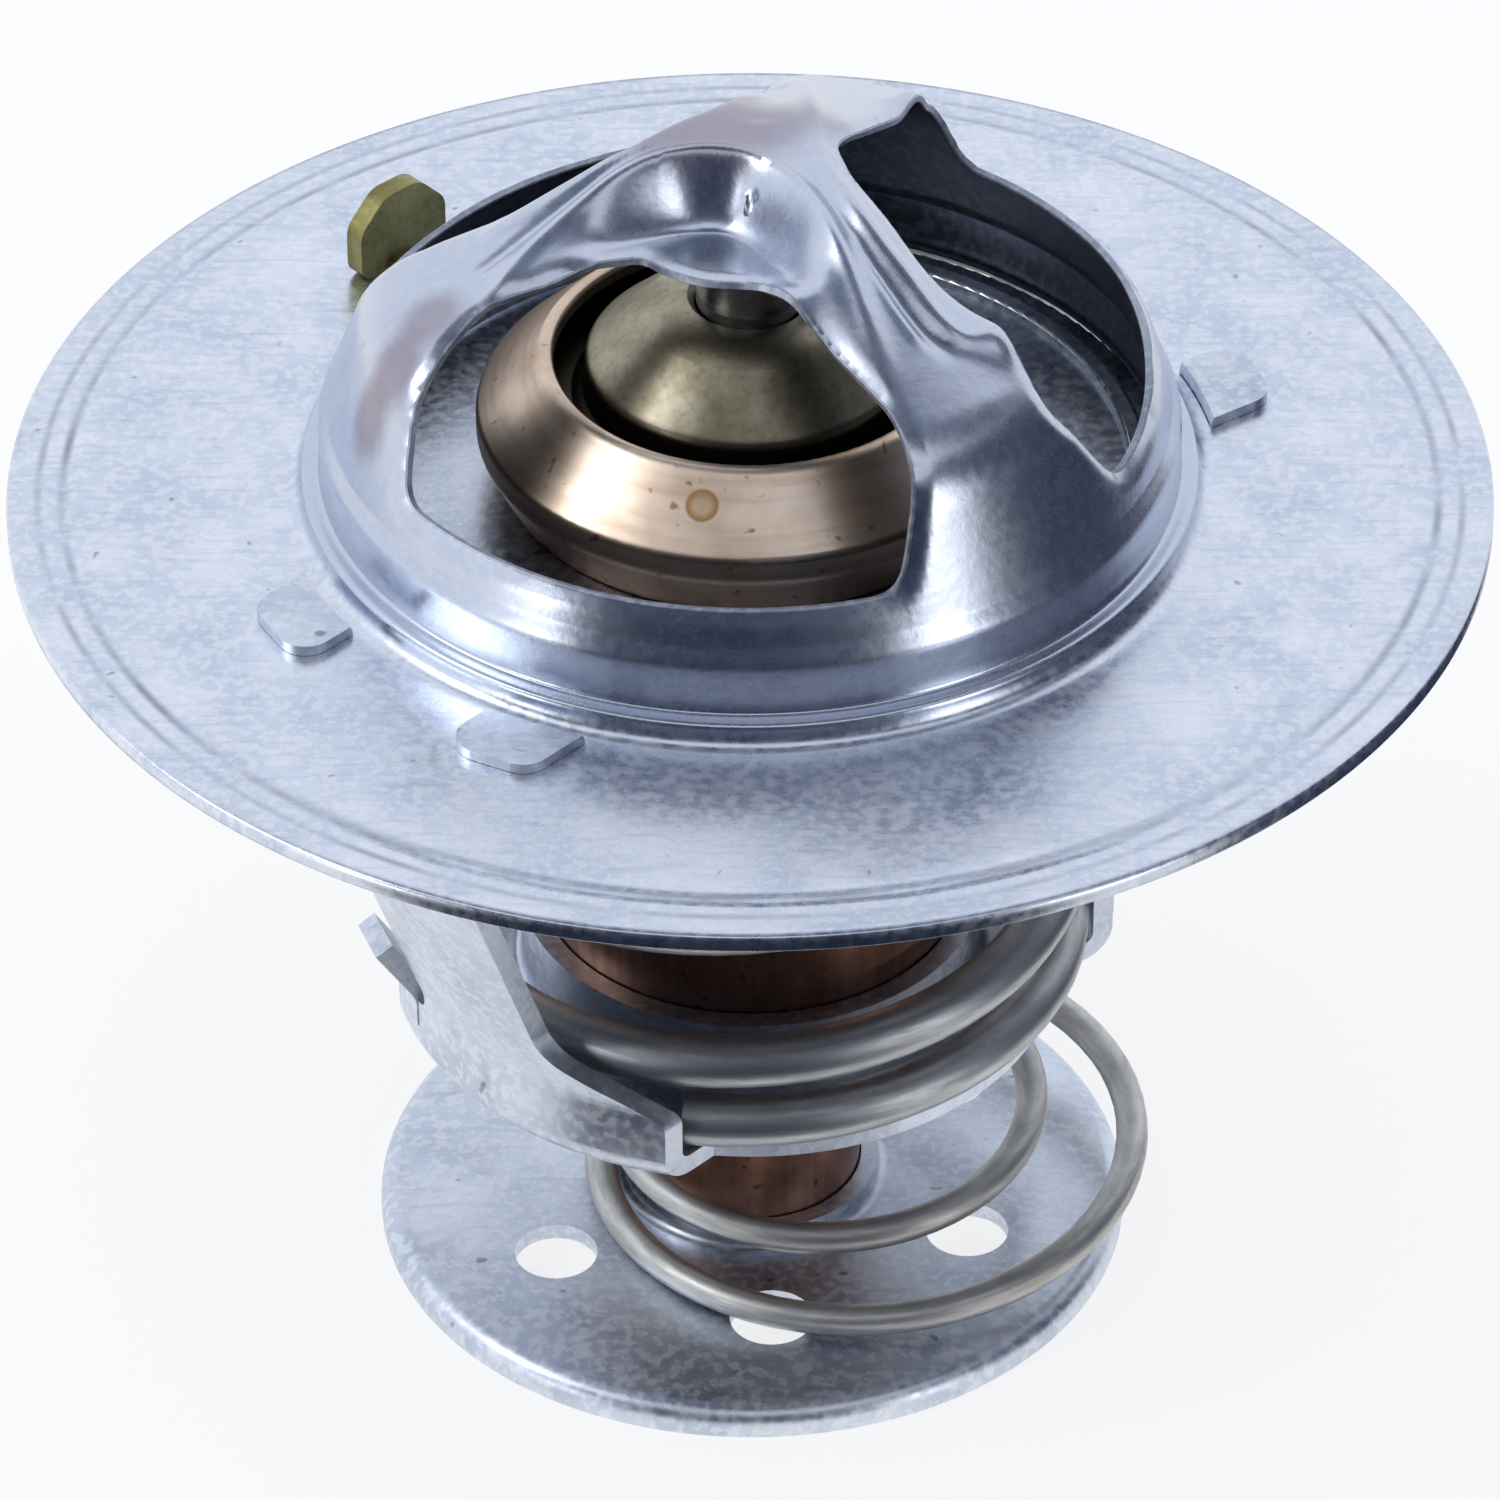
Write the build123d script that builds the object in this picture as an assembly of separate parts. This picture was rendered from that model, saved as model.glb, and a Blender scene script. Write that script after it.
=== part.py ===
from build123d import *
import math
import os

os.makedirs("parts", exist_ok=True)

# Wax-element engine thermostat. Millimetres. Z is the valve's axis, up towards the bridge, and z = 0 is
# the top face of the flange's sealing border. Angles are in degrees, counted from +X towards +Y.

# ---- Driving dimensions ---------------------------------------------------------------------------

# Flange, collar and three-legged bridge, pressed from one sheet
sheet_t = 0.85
flange_r = 33.5
border_w = 2.5          # flat sealing border
border_step = 0.15      # rise of the flange inside the border
collar_r = 19.4         # outside of the collar's wall
seat_w = 0.85           # radial width of the valve seat's ledge
ledge_z = 1.25          # outside ledge of the seat ring
neck_z = 3.7            # where the collar starts to draw in
neck_in = 0.45
neck_h = 0.8
shoulder_r = 16.9       # corner between the bridge's wall and its roof
shoulder_z = 11.2
shoulder_bend = 5.0
crest_r = 4.9           # rim of the socket over the piston pin
crest_z = 16.7
socket_r = 3.3          # floor of the socket
socket_z = 13.3
leg_angles = (70, 189.5, 313.5)
leg_w = 6.4             # width of a leg on the roof
leg_foot_deg = 42.5     # width of a leg's foot on the collar
sill_z = 6.1            # lower edge of the windows
sill_bend = 2.3
belly_w = 25.0          # greatest width of a window
belly_z = 10.0
belly_bend = 2.5
lug_r = 13.55           # pointed corner on each side of a leg
lug_z = 12.3
lug_h = 0.5
hub_bend = 3.0          # inner corner of a window, in plan

# Lower frame: a drawn spring seat with two legs that are hooked through the flange
frame_t = 0.95
frame_angles = (226, 34)
frame_leg_w = 8.8
frame_leg_shift = -1.0  # the legs stand this far to one side of their tabs
frame_foot_w = 17.2     # width of the spring seat's wall at each leg
frame_foot_h = 3.5      # height of that wall beside the leg
frame_ear_z = -21.3     # top of the ear at one end of the wall
frame_ear_w = 2.6
frame_ear_out = 1.9     # the ear leans out by this much
frame_ear_root = 1.5    # and is bent this far under the wall's edge
frame_flare_h = 2.8     # the leg widens over this height, above its foot and under its tabs
frame_guide_h = 3.8     # collar round the cup
frame_top_r = 22.2      # outside of the legs under the flange
frame_lean_z = -9.5     # the legs lean inwards below this height
frame_lean_h = 14.0
frame_lean_bend = 3.0
frame_disc_r = 14.3     # round floor between the two walls
tab_w = 4.4
tab_pitch = 13.0        # between the middles of a leg's two tabs
tab_out = 2.2           # how far a tab lies over the flange
tab_t = 0.5             # the tabs are hammered down to this over the flange
tab_bend = 1.3

# Main spring: turn, and the share of its rise there
main_wire_d = 2.45
main_coil_r = 14.5      # to the wire's middle
main_start_deg = 258
main_rise_h = 24.1      # from the first end to the last
main_rise = ((0, 0.0), (1, 0.141), (2, 0.456), (3, 0.813), (4, 1.0))

# Wax element
stem_r = 5.1
body_r = 9.7
body_bottom_z = -27.0
cup_wall = 1.0
cup_floor_t = 1.1
mouth_r = 12.3
mouth_low_z = 3.1
mouth_high_z = 4.3
lip_r = 8.8
lip_z = 7.2
lip_t = 0.8
stem_tip = 0.3          # length of the stem below its clip
stem_bend = 0.3
cup_step_t = 0.9        # thickness of the cup's step over the valve disc
guide_top_z = 10.1
guide_top_r = 4.0
guide_r = 7.4
guide_edge_z = 7.0
guide_flange_t = 2.6
boot_flange_t = 1.0
boot_wall = 1.9
pin_r = 2.4
pin_bottom_z = -14.0
pin_nose = 1.4

# Valve disc
disc_t = 0.8
disc_top_z = 0.55
disc_ridge_in = 1.65     # from the disc's edge to the ridge's middle
disc_ridge_w = 0.9
disc_ridge_h = 0.4
disc_rim_w = 1.2

# Bypass plate, its spring and its clip
plate_t = 0.8
plate_r = 17.65
plate_z = -40.05        # top face of the flat
plate_flat_r = 13.6
plate_slope_h = 0.45    # drop from the flat to the rim's bend
plate_rim_h = 1.75      # from the flat's top face to the rim's lower edge
plate_bend = 0.95
plate_slope_bend = 6.0
plate_collar_h = 1.0
hole_d = 3.9
hole_ring_r = 11.2
hole_count = 6
hole_first_deg = 214.5
bypass_wire_d = 1.5
bypass_top_r = 6.6      # to the wire's middle, round the stem
bypass_low_r = 12.5
bypass_lean = 5.3       # the big end lies off the axis by this much
bypass_lean_deg = -2.2
bypass_start_deg = 160
# Turn from the big end, then shares: of the height, of the radius' growth, of the lean
bypass_course = (
    (0, 0, 1, 1),
    (0.3, 0.03, 1, 1),
    (0.7, 0.2, 1, 1),
    (1.3, 0.29, 0.6, 0.8),
    (3, 0.93, 0.04, 0.05),
    (4, 1, 0, 0),
)
clip_t = 0.5
clip_r = 7.2
clip_gap_deg = 70
groove_depth = 0.6

# Jiggle pin
jiggle_deg = 133
jiggle_ring_r = 24.0
jiggle_shank_r = 1.1
jiggle_hole_r = 1.7
jiggle_head_w = 5.2
jiggle_head_h = 4.1
jiggle_head_t = 1.0
jiggle_travel = 2.4
jiggle_bulb_r = 2.2
jiggle_bulb_h = 2.6

# Clearances
touch = 0.02            # between pieces that rest on each other
seat_gap = 0.05         # between the closed valve, or the held plate, and its stop
running = 0.08          # radial, between pieces that slide
disc_gap = 0.15         # radial, round the valve disc

# ---- Sizes that follow ----------------------------------------------------------------------------

ring_r = collar_r + seat_w
seat_z = ledge_z - sheet_t
flange_top_z = border_step
flange_under_z = flange_top_z - sheet_t
socket_under_z = socket_z - sheet_t
disc_r = ring_r - sheet_t - disc_gap
disc_under_z = disc_top_z - disc_t
spring_top_z = disc_under_z - touch
spring_low_z = spring_top_z - main_wire_d - main_rise_h
floor_top_z = spring_low_z - touch
floor_under_z = floor_top_z - frame_t
frame_wall_r = main_coil_r + main_wire_d / 2 + 0.25 + frame_t
guide_hole_r = body_r + running
bore_r = body_r - cup_wall
mouth_bore_r = mouth_r - cup_wall
plate_rim_z = plate_z - plate_rim_h
clip_top_z = plate_z - plate_t - seat_gap
stem_end_z = clip_top_z - clip_t - stem_tip
cup_seat_z = disc_top_z + touch + cup_step_t


# ---- Helpers --------------------------------------------------------------------------------------


def outline(corners):
    """Face inside (x, y, radius) corners, each rounded by its own radius."""
    edges = []
    ends = []
    for i, (x, y, radius) in enumerate(corners):
        here = Vector(x, y)
        back = (Vector(*corners[i - 1][:2]) - here).normalized()
        ahead = (Vector(*corners[(i + 1) % len(corners)][:2]) - here).normalized()
        half = math.radians(back.get_angle(ahead)) / 2
        if radius < 0.01 or half > 1.56:
            ends.append((here, here))
            continue
        reach = radius / math.tan(half)
        inwards = (back + ahead).normalized()
        middle = here + inwards * (radius / math.sin(half) - radius)
        ends.append((here + back * reach, here + ahead * reach))
        edges.append(ThreePointArc(ends[-1][0], middle, ends[-1][1]))
    for i in range(len(ends)):
        start, end = ends[i - 1][1], ends[i][0]
        if (end - start).length > 1e-4:
            edges.append(Line(start, end))
    return make_face(edges)


def beside(path, distance):
    """The (x, y, radius) path moved to its left, with every bend's radius to match."""
    points = [Vector(x, y) for x, y, radius in path]
    runs = [(b - a).normalized() for a, b in zip(points, points[1:])]
    lefts = [Vector(-run.Y, run.X) for run in runs]
    moved = []
    for i, (point, (x, y, radius)) in enumerate(zip(points, path)):
        if i == 0 or i == len(runs):
            shifted = point + lefts[min(i, len(runs) - 1)] * distance
            moved.append((shifted.X, shifted.Y, 0))
            continue
        one, two = lefts[i - 1], lefts[i]
        shifted = point + (one + two) * (distance / (1 + one.dot(two)))
        left_turn = runs[i - 1].cross(runs[i]).Z > 0
        bend = radius - distance if left_turn else radius + distance
        moved.append((shifted.X, shifted.Y, max(bend, 0)))
    return moved


def pressed(path, thickness):
    """Section of a pressed sheet: the path is one face, and the other lies to its left."""
    return outline(path + beside(path, thickness)[::-1])


def turned(section):
    """Solid of revolution about Z of an (r, z) section."""
    return revolve(Plane.XZ * section, Axis.Z, 360)


def facing(angle, distance=0.0):
    """Plane at a distance from the axis that faces outwards, its x sideways and its y up."""
    out = Vector(math.cos(math.radians(angle)), math.sin(math.radians(angle)), 0)
    side = Vector(-out.Y, out.X, 0)
    return Plane(origin=out * distance, x_dir=side, z_dir=out)


def coil(wire_d, turns, start_deg, station):
    """Wire wound along station(turn), which gives the centre, radius and height there."""
    steps = 12
    points = []
    for i in range(round(turns * steps) + 1):
        turn = i / steps
        (cx, cy), radius, height = station(turn)
        angle = math.radians(start_deg) + 2 * math.pi * turn
        points.append((cx + radius * math.cos(angle), cy + radius * math.sin(angle), height))
    path = Spline(*points)
    return sweep(Plane(origin=path @ 0, z_dir=path % 0) * Circle(wire_d / 2), path=path)


def along(course, turn):
    """Values at a turn, between the (turn, value, ...) rows on each side of it."""
    after = next((i for i, row in enumerate(course) if i > 0 and row[0] >= turn), len(course) - 1)
    low, high = course[after - 1], course[after]
    share = (turn - low[0]) / (high[0] - low[0])
    return [a + (b - a) * share for a, b in zip(low[1:], high[1:])]


# ---- Pieces ---------------------------------------------------------------------------------------


def window(start_deg, end_deg):
    """Cutter for the window between two legs: its plan in the roof, and its front view in the wall."""
    middle = (start_deg + end_deg) / 2
    half_space = math.radians(end_deg - start_deg) / 2
    apex = leg_w / 2 / math.sin(half_space)
    lug_turn = half_space - math.asin(leg_w / 2 / lug_r)
    reach = lug_r * math.cos(lug_turn)
    lug_x = lug_r * math.sin(lug_turn)
    top = crest_z + leg_w
    plan = outline([(apex, 0, hub_bend), (reach + 0.1, lug_x, 0), (reach + 0.1, -lug_x, 0)])
    roof = extrude(Pos(0, 0, belly_z) * Rot(0, 0, middle) * plan, top - belly_z)
    right = [
        (collar_r * math.sin(half_space - math.radians(leg_foot_deg) / 2), sill_z, sill_bend),
        (belly_w / 2, belly_z, belly_bend),
        (lug_x - lug_h, lug_z, 1.0),
        (lug_x - lug_h, top, 0),
    ]
    left = [(-x, z, radius) for x, z, radius in right[::-1]]
    wall = extrude(facing(middle, reach) * outline(right + left), flange_r - reach)
    return roof + wall


def tab_slots(gap):
    """Space that the frame's tabs take up in the flange, with a gap all round."""
    deep = 4 * sheet_t + 2 * frame_t
    ring = Cylinder(frame_top_r + gap, deep) - Cylinder(frame_top_r - frame_t - gap, deep)
    slots = Part()
    for angle in frame_angles:
        for side in (-1, 1):
            strip = facing(angle) * Pos(side * tab_pitch / 2, 0, 0) * Box(
                tab_w + 2 * gap, deep, 2 * flange_r, align=(Align.CENTER, Align.CENTER, Align.MIN)
            )
            slots += ring & strip
    return slots


def make_flange_bridge():
    """Flange, valve seat, collar and bridge, one stamping."""
    skirt = [
        (flange_r, 0, 0),
        (flange_r - border_w, 0, 0),
        (flange_r - border_w - border_step, flange_top_z, 0),
        (ring_r, flange_top_z, 0.8),
        (ring_r, ledge_z, 0.28),
        (collar_r, ledge_z, 0.2),
    ]
    dome = [
        (collar_r, neck_z, 1.0),
        (collar_r - neck_in, neck_z + neck_h, 1.0),
        (shoulder_r, shoulder_z, shoulder_bend),
        (crest_r, crest_z, 1.3),
        (socket_r, socket_z, 0.9),
        (0, socket_z, 0),
    ]
    under = beside([(collar_r, ledge_z, 0)] + dome, sheet_t)[:0:-1]
    seat = [
        (collar_r - sheet_t, seat_z, 0.25),
        (ring_r - sheet_t, seat_z, 0.15),
        (ring_r - sheet_t, flange_under_z, 0.5),
        (flange_r - border_w - border_step, flange_under_z, 0),
        (flange_r - border_w, -sheet_t, 0),
        (flange_r, -sheet_t, 0),
    ]
    body = turned(outline(skirt + dome + under + seat))
    for i, angle in enumerate(leg_angles):
        after = leg_angles[i + 1] if i + 1 < len(leg_angles) else leg_angles[0] + 360
        body -= window(angle, after)
    body -= tab_slots(2 * touch)
    body -= Rot(0, 0, jiggle_deg) * Pos(jiggle_ring_r, 0, 0) * Cylinder(jiggle_hole_r, 4 * sheet_t)
    return body


def make_lower_frame():
    """Spring seat and its two legs, one stamping, with the tabs bent over the flange."""
    tab_z = flange_top_z + touch
    sheet = pressed(
        [
            (guide_hole_r, floor_top_z + frame_guide_h, 0),
            (guide_hole_r, floor_under_z, 1.4),
            (frame_wall_r, floor_under_z, 1.4),
            (frame_wall_r, frame_lean_z - frame_lean_h, 2.0),
            (frame_top_r, frame_lean_z, frame_lean_bend),
            (frame_top_r, tab_z, 0),
            (frame_top_r + tab_out, tab_z, 0),
        ],
        frame_t,
    )
    body = turned(sheet)
    foot = frame_foot_w / 2
    right_waist = frame_leg_shift + frame_leg_w / 2
    left_waist = frame_leg_shift - frame_leg_w / 2
    inner = (tab_pitch - tab_w) / 2
    outer = (tab_pitch + tab_w) / 2
    low = floor_under_z - 1
    foot_z = floor_under_z + frame_foot_h
    tabs_z = frame_lean_z + frame_flare_h / 2
    high = tab_z + tab_t
    shape = [
        (foot, low, 0),
        (foot, foot_z, 0.8),
        (right_waist, foot_z + frame_flare_h, 2.0),
        (right_waist, tabs_z, 2.5),
        (outer, tabs_z + frame_flare_h, 1.5),
        (outer, high, 0),
        (inner, high, 0),
        (inner, flange_under_z - touch, 0),
        (-inner, flange_under_z - touch, 0),
        (-inner, high, 0),
        (-outer, high, 0),
        (-outer, tabs_z + frame_flare_h, 1.0),
        (left_waist, tabs_z, 2.0),
        (left_waist, foot_z, 0.5),
        (-foot, foot_z, 0),
        (-foot, low, 0),
    ]
    keep = Pos(0, 0, floor_top_z) * Cylinder(frame_disc_r, 3 * frame_guide_h)
    for angle in frame_angles:
        keep += extrude(facing(angle, guide_hole_r / 2) * outline(shape), flange_r)
    body &= keep
    ear = pressed(
        [
            (frame_wall_r, foot_z - frame_ear_root, 0),
            (frame_wall_r, foot_z, 1.5),
            (frame_wall_r + frame_ear_out, frame_ear_z, 0),
        ],
        frame_t,
    )
    ear = extrude(Plane.XZ * ear, frame_ear_w / 2, both=True)
    ear_turn = math.degrees(math.asin((foot - frame_ear_w / 2) / frame_wall_r))
    for angle in frame_angles:
        body += Rot(0, 0, angle - ear_turn) * ear
    tips = body.edges().filter_by(Axis.Z).filter_by(
        lambda edge: math.hypot(edge.center().X, edge.center().Y) > frame_top_r + tab_out / 2
    )
    return fillet(tips, tab_bend)


def make_piston_pin():
    """Steel pin that stands in the socket and reaches down into the rubber boot."""
    top = socket_under_z - touch
    return turned(
        outline(
            [
                (0, pin_bottom_z, 0),
                (pin_r - pin_nose, pin_bottom_z, 0),
                (pin_r, pin_bottom_z + 2 * pin_nose, 0.8),
                (pin_r, top, 0.3),
                (0, top, 0),
            ]
        )
    )


def make_main_spring():
    """Compression spring between the lower frame and the valve disc, both ends wound close."""
    base = spring_low_z + main_wire_d / 2

    def station(turn):
        return (0, 0), main_coil_r, base + main_rise_h * along(main_rise, turn)[0]

    return coil(main_wire_d, main_rise[-1][0], main_start_deg, station)


def make_element_cup():
    """Copper cup with its crimped mouth and its solid stem, one piece."""
    shoulder = disc_top_z + touch
    groove = stem_r - groove_depth
    lip_under = lip_z - lip_t
    return turned(
        outline(
            [
                (0, stem_end_z, 0),
                (stem_r - 0.4, stem_end_z, 0),
                (stem_r, stem_end_z + 0.25, 0),
                (stem_r, clip_top_z - clip_t - touch, 0),
                (groove, clip_top_z - clip_t - touch, 0),
                (groove, clip_top_z + touch, 0),
                (stem_r, clip_top_z + touch, 0),
                (stem_r, body_bottom_z, stem_bend),
                (body_r, body_bottom_z, 1.4),
                (body_r, shoulder, 0),
                (body_r + 1.3, shoulder, 0.5),
                (mouth_r, mouth_low_z, 0.9),
                (mouth_r, mouth_high_z, 0.5),
                (lip_r + 0.5, lip_z, 0.6),
                (lip_r, lip_z - 0.1, 0.25),
                (lip_r, lip_under, 0.15),
                (mouth_bore_r, cup_seat_z + boot_flange_t + guide_flange_t, 0),
                (mouth_bore_r, cup_seat_z, 0),
                (bore_r, cup_seat_z, 0),
                (bore_r, body_bottom_z + cup_floor_t, 1.0),
                (0, body_bottom_z + cup_floor_t, 0),
            ]
        )
    )


def make_guide_bush():
    """Brass guide of the piston pin, domed, held by its flange under the cup's lip."""
    bottom = cup_seat_z + boot_flange_t
    top = bottom + guide_flange_t - touch
    hole = pin_r + running
    outer = mouth_bore_r - touch
    return turned(
        outline(
            [
                (hole, bottom, 0),
                (outer, bottom, 0),
                (outer, top, 0),
                (guide_r + 0.6, top, 0.2),
                (guide_r, top + 0.3, 0.2),
                (guide_r, guide_edge_z, 0.7),
                (guide_top_r, guide_top_z, 3.0),
                (hole + 0.3, guide_top_z, 0),
                (hole, guide_top_z - 0.3, 0),
            ]
        )
    )


def make_rubber_boot():
    """Closed rubber sleeve round the pin, clamped by its flange between cup and guide."""
    bottom = cup_seat_z + touch
    top = cup_seat_z + boot_flange_t - touch
    hole = pin_r + running
    end = pin_bottom_z - touch
    return turned(
        outline(
            [
                (0, end - boot_wall, 0),
                (hole + boot_wall, end - boot_wall, 1.2),
                (hole + boot_wall, bottom, 0),
                (mouth_bore_r - touch, bottom, 0),
                (mouth_bore_r - touch, top, 0),
                (hole, top, 0),
                (hole, end, 0),
                (0, end, 0),
            ]
        )
    )


def make_wax_charge():
    """Wax that fills the cup round the boot."""
    low = body_bottom_z + cup_floor_t + touch
    inner = pin_r + running + boot_wall + touch
    boot_end = pin_bottom_z - 2 * touch - boot_wall
    return turned(
        outline(
            [
                (0, low, 0),
                (bore_r - touch, low, 1.0),
                (bore_r - touch, cup_seat_z, 0),
                (inner, cup_seat_z, 0),
                (inner, boot_end, 0),
                (0, boot_end, 0),
            ]
        )
    )


def make_valve_disc():
    """Steel valve disc with a coined ridge inside its sealing rim."""
    rim_z = seat_z - seat_gap
    ridge_top = disc_top_z + disc_ridge_h
    out = disc_r - disc_ridge_in + disc_ridge_w / 2
    inn = disc_r - disc_ridge_in - disc_ridge_w / 2
    return turned(
        outline(
            [
                (body_r + touch, disc_under_z, 0),
                (disc_r - disc_rim_w, disc_under_z, 0.4),
                (disc_r, rim_z - disc_t, 0.3),
                (disc_r, rim_z, 0.15),
                (out, rim_z, 0.1),
                (out, ridge_top, 0.25),
                (inn, ridge_top, 0.15),
                (inn - 0.15, disc_top_z, 0),
                (body_r + touch, disc_top_z, 0),
            ]
        )
    )


def make_bypass_spring():
    """Conical spring between the cup's shoulder and the bypass plate, its big end off the axis."""
    high = body_bottom_z - touch - bypass_wire_d / 2
    low = plate_z + touch + bypass_wire_d / 2

    off = Vector(bypass_lean, 0).rotate(Axis.Z, bypass_lean_deg)

    def station(turn):
        rise, growth, lean = along(bypass_course, turn)
        centre = (off.X * lean, off.Y * lean)
        return centre, bypass_top_r + (bypass_low_r - bypass_top_r) * growth, low + (high - low) * rise

    return coil(bypass_wire_d, bypass_course[-1][0], bypass_start_deg, station)


def make_bypass_plate():
    """Dished bypass valve plate with a rim, a plunged collar round the stem and a ring of holes."""
    hole = stem_r + running
    body = turned(
        pressed(
            [
                (plate_r, plate_rim_z, 0),
                (plate_r, plate_z - plate_slope_h, plate_bend),
                (plate_flat_r, plate_z, plate_slope_bend),
                (hole + plate_t, plate_z, 0.5),
                (hole + plate_t, plate_z + plate_collar_h, 0),
            ],
            plate_t,
        )
    )
    for i in range(hole_count):
        angle = hole_first_deg + i * 360 / hole_count
        body -= Rot(0, 0, angle) * Pos(hole_ring_r, 0, plate_z) * Cylinder(hole_d / 2, 4 * plate_t)
    return body


def make_stem_clip():
    """Open spring clip in the stem's groove, under the bypass plate."""
    inner = stem_r - groove_depth + touch
    ring = Cylinder(clip_r, clip_t) - Cylinder(inner, clip_t)
    half = math.radians(clip_gap_deg / 2)
    far = 2 * clip_r
    gap = Polygon((0, 0), (far, far * math.tan(half)), (far, -far * math.tan(half)), align=None)
    ring -= extrude(Pos(0, 0, -clip_t) * gap, 2 * clip_t)
    return Pos(0, 0, clip_top_z - clip_t / 2) * ring


def make_jiggle_pin():
    """Loose brass air-bleed pin: flat head above the flange, shank, and bulb below it."""
    foot = flange_top_z + touch
    bulb_top = flange_under_z - jiggle_travel - seat_gap
    bulb_low = bulb_top - jiggle_bulb_h
    shank = turned(
        outline(
            [
                (0, bulb_low, 0),
                (jiggle_bulb_r * 0.5, bulb_low, 0.4),
                (jiggle_bulb_r, bulb_low + jiggle_bulb_h / 2, 0.8),
                (jiggle_shank_r, bulb_top, 0.3),
                (jiggle_shank_r, foot + 0.5, 0),
                (0, foot + 0.5, 0),
            ]
        )
    )
    half = jiggle_head_w / 2
    head = outline(
        [
            (-half, foot, 0.8),
            (half, foot, 0.8),
            (half, foot + jiggle_head_h * 0.65, 1.2),
            (half * 0.4, foot + jiggle_head_h, 1.2),
            (-half * 0.4, foot + jiggle_head_h, 1.2),
            (-half, foot + jiggle_head_h * 0.6, 1.2),
        ]
    )
    place = Rot(0, 0, jiggle_deg) * Pos(jiggle_ring_r, 0, 0)
    paddle = extrude(facing(0, -jiggle_head_t / 2) * head, jiggle_head_t)
    return place * (shank + paddle)


# ---- Build ----------------------------------------------------------------------------------------

pieces = {
    "flange_bridge": make_flange_bridge,
    "lower_frame": make_lower_frame,
    "piston_pin": make_piston_pin,
    "main_spring": make_main_spring,
    "element_cup": make_element_cup,
    "guide_bush": make_guide_bush,
    "rubber_boot": make_rubber_boot,
    "wax_charge": make_wax_charge,
    "valve_disc": make_valve_disc,
    "bypass_spring": make_bypass_spring,
    "bypass_plate": make_bypass_plate,
    "stem_clip": make_stem_clip,
    "jiggle_pin": make_jiggle_pin,
}

for name, make in pieces.items():
    export_step(make(), f"parts/{name}.step")
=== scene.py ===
import bpy, math
import numpy as np
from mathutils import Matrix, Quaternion, Vector


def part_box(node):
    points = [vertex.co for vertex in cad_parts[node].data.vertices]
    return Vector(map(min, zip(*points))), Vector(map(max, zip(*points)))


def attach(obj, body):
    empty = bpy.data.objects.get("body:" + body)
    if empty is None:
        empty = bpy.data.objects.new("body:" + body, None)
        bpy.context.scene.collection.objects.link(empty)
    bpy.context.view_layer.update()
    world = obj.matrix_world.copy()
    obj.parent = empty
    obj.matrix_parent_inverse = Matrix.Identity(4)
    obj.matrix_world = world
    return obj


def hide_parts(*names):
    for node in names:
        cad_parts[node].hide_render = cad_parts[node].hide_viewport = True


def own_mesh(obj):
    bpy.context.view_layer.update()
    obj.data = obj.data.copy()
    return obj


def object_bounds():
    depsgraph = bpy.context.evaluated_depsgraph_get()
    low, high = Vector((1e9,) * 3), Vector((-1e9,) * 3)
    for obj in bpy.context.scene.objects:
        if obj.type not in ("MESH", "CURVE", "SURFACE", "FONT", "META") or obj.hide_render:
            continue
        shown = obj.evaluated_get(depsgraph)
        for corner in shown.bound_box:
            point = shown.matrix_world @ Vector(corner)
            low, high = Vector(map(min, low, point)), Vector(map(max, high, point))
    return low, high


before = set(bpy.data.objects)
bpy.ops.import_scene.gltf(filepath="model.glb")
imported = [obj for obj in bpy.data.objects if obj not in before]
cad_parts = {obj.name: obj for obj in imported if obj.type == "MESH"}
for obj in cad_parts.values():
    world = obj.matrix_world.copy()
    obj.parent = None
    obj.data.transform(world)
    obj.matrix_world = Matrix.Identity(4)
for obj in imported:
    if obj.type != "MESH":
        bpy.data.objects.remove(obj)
cad_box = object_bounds()
MM = 0.001


# ---- Tools of the bench -----------------------------------------------------------------------------

def rgb(code):
    """sRGB hex to the linear colour that nodes want."""
    parts = [int(code[i:i + 2], 16) / 255 for i in (1, 3, 5)]
    return [c / 12.92 if c <= 0.04045 else ((c + 0.055) / 1.055) ** 2.4 for c in parts] + [1.0]


def per_mm(size):
    """Texture scale, per metre, of a pattern whose marks are this many millimetres across."""
    return 1000.0 / size


def blank(name):
    mat = bpy.data.materials.new(name)
    mat.use_nodes = True
    mat.node_tree.nodes.clear()
    return mat


def add(mat, kind, inputs=None, **settings):
    """One node, with its settings and its inputs: each a value, or an output of another node."""
    tree = mat.node_tree
    made = tree.nodes.new(kind)
    for name, value in settings.items():
        setattr(made, name, value)
    for name, value in (inputs or {}).items():
        if isinstance(value, bpy.types.NodeSocket):
            tree.links.new(value, made.inputs[name])
        else:
            made.inputs[name].default_value = value
    return made


def marked(mat, tint, pattern, start, full, depth, code):
    """The tint with marks of another colour, which show where a pattern goes from start to full."""
    shown = add(mat, "ShaderNodeMapRange", {
        "Value": pattern, "From Min": start, "From Max": full, "To Max": depth}).outputs["Result"]
    return add(mat, "ShaderNodeMix", {0: shown, 6: tint, 7: rgb(code)}, data_type="RGBA").outputs[2]


def made_mesh(name, points, faces, mat, sharp=40):
    """Smooth-shaded mesh from points in millimetres, creased where faces meet at more than sharp degrees."""
    mesh = bpy.data.meshes.new(name)
    mesh.from_pydata([(x * MM, y * MM, z * MM) for x, y, z in points], [], faces)
    mesh.validate()
    mesh.polygons.foreach_set("use_smooth", [True] * len(mesh.polygons))
    mesh.set_sharp_from_angle(angle=math.radians(sharp))
    mesh.materials.append(mat)
    piece = bpy.data.objects.new(name, mesh)
    bpy.context.collection.objects.link(piece)
    return piece


# ---- Finishes ---------------------------------------------------------------------------------------

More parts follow.
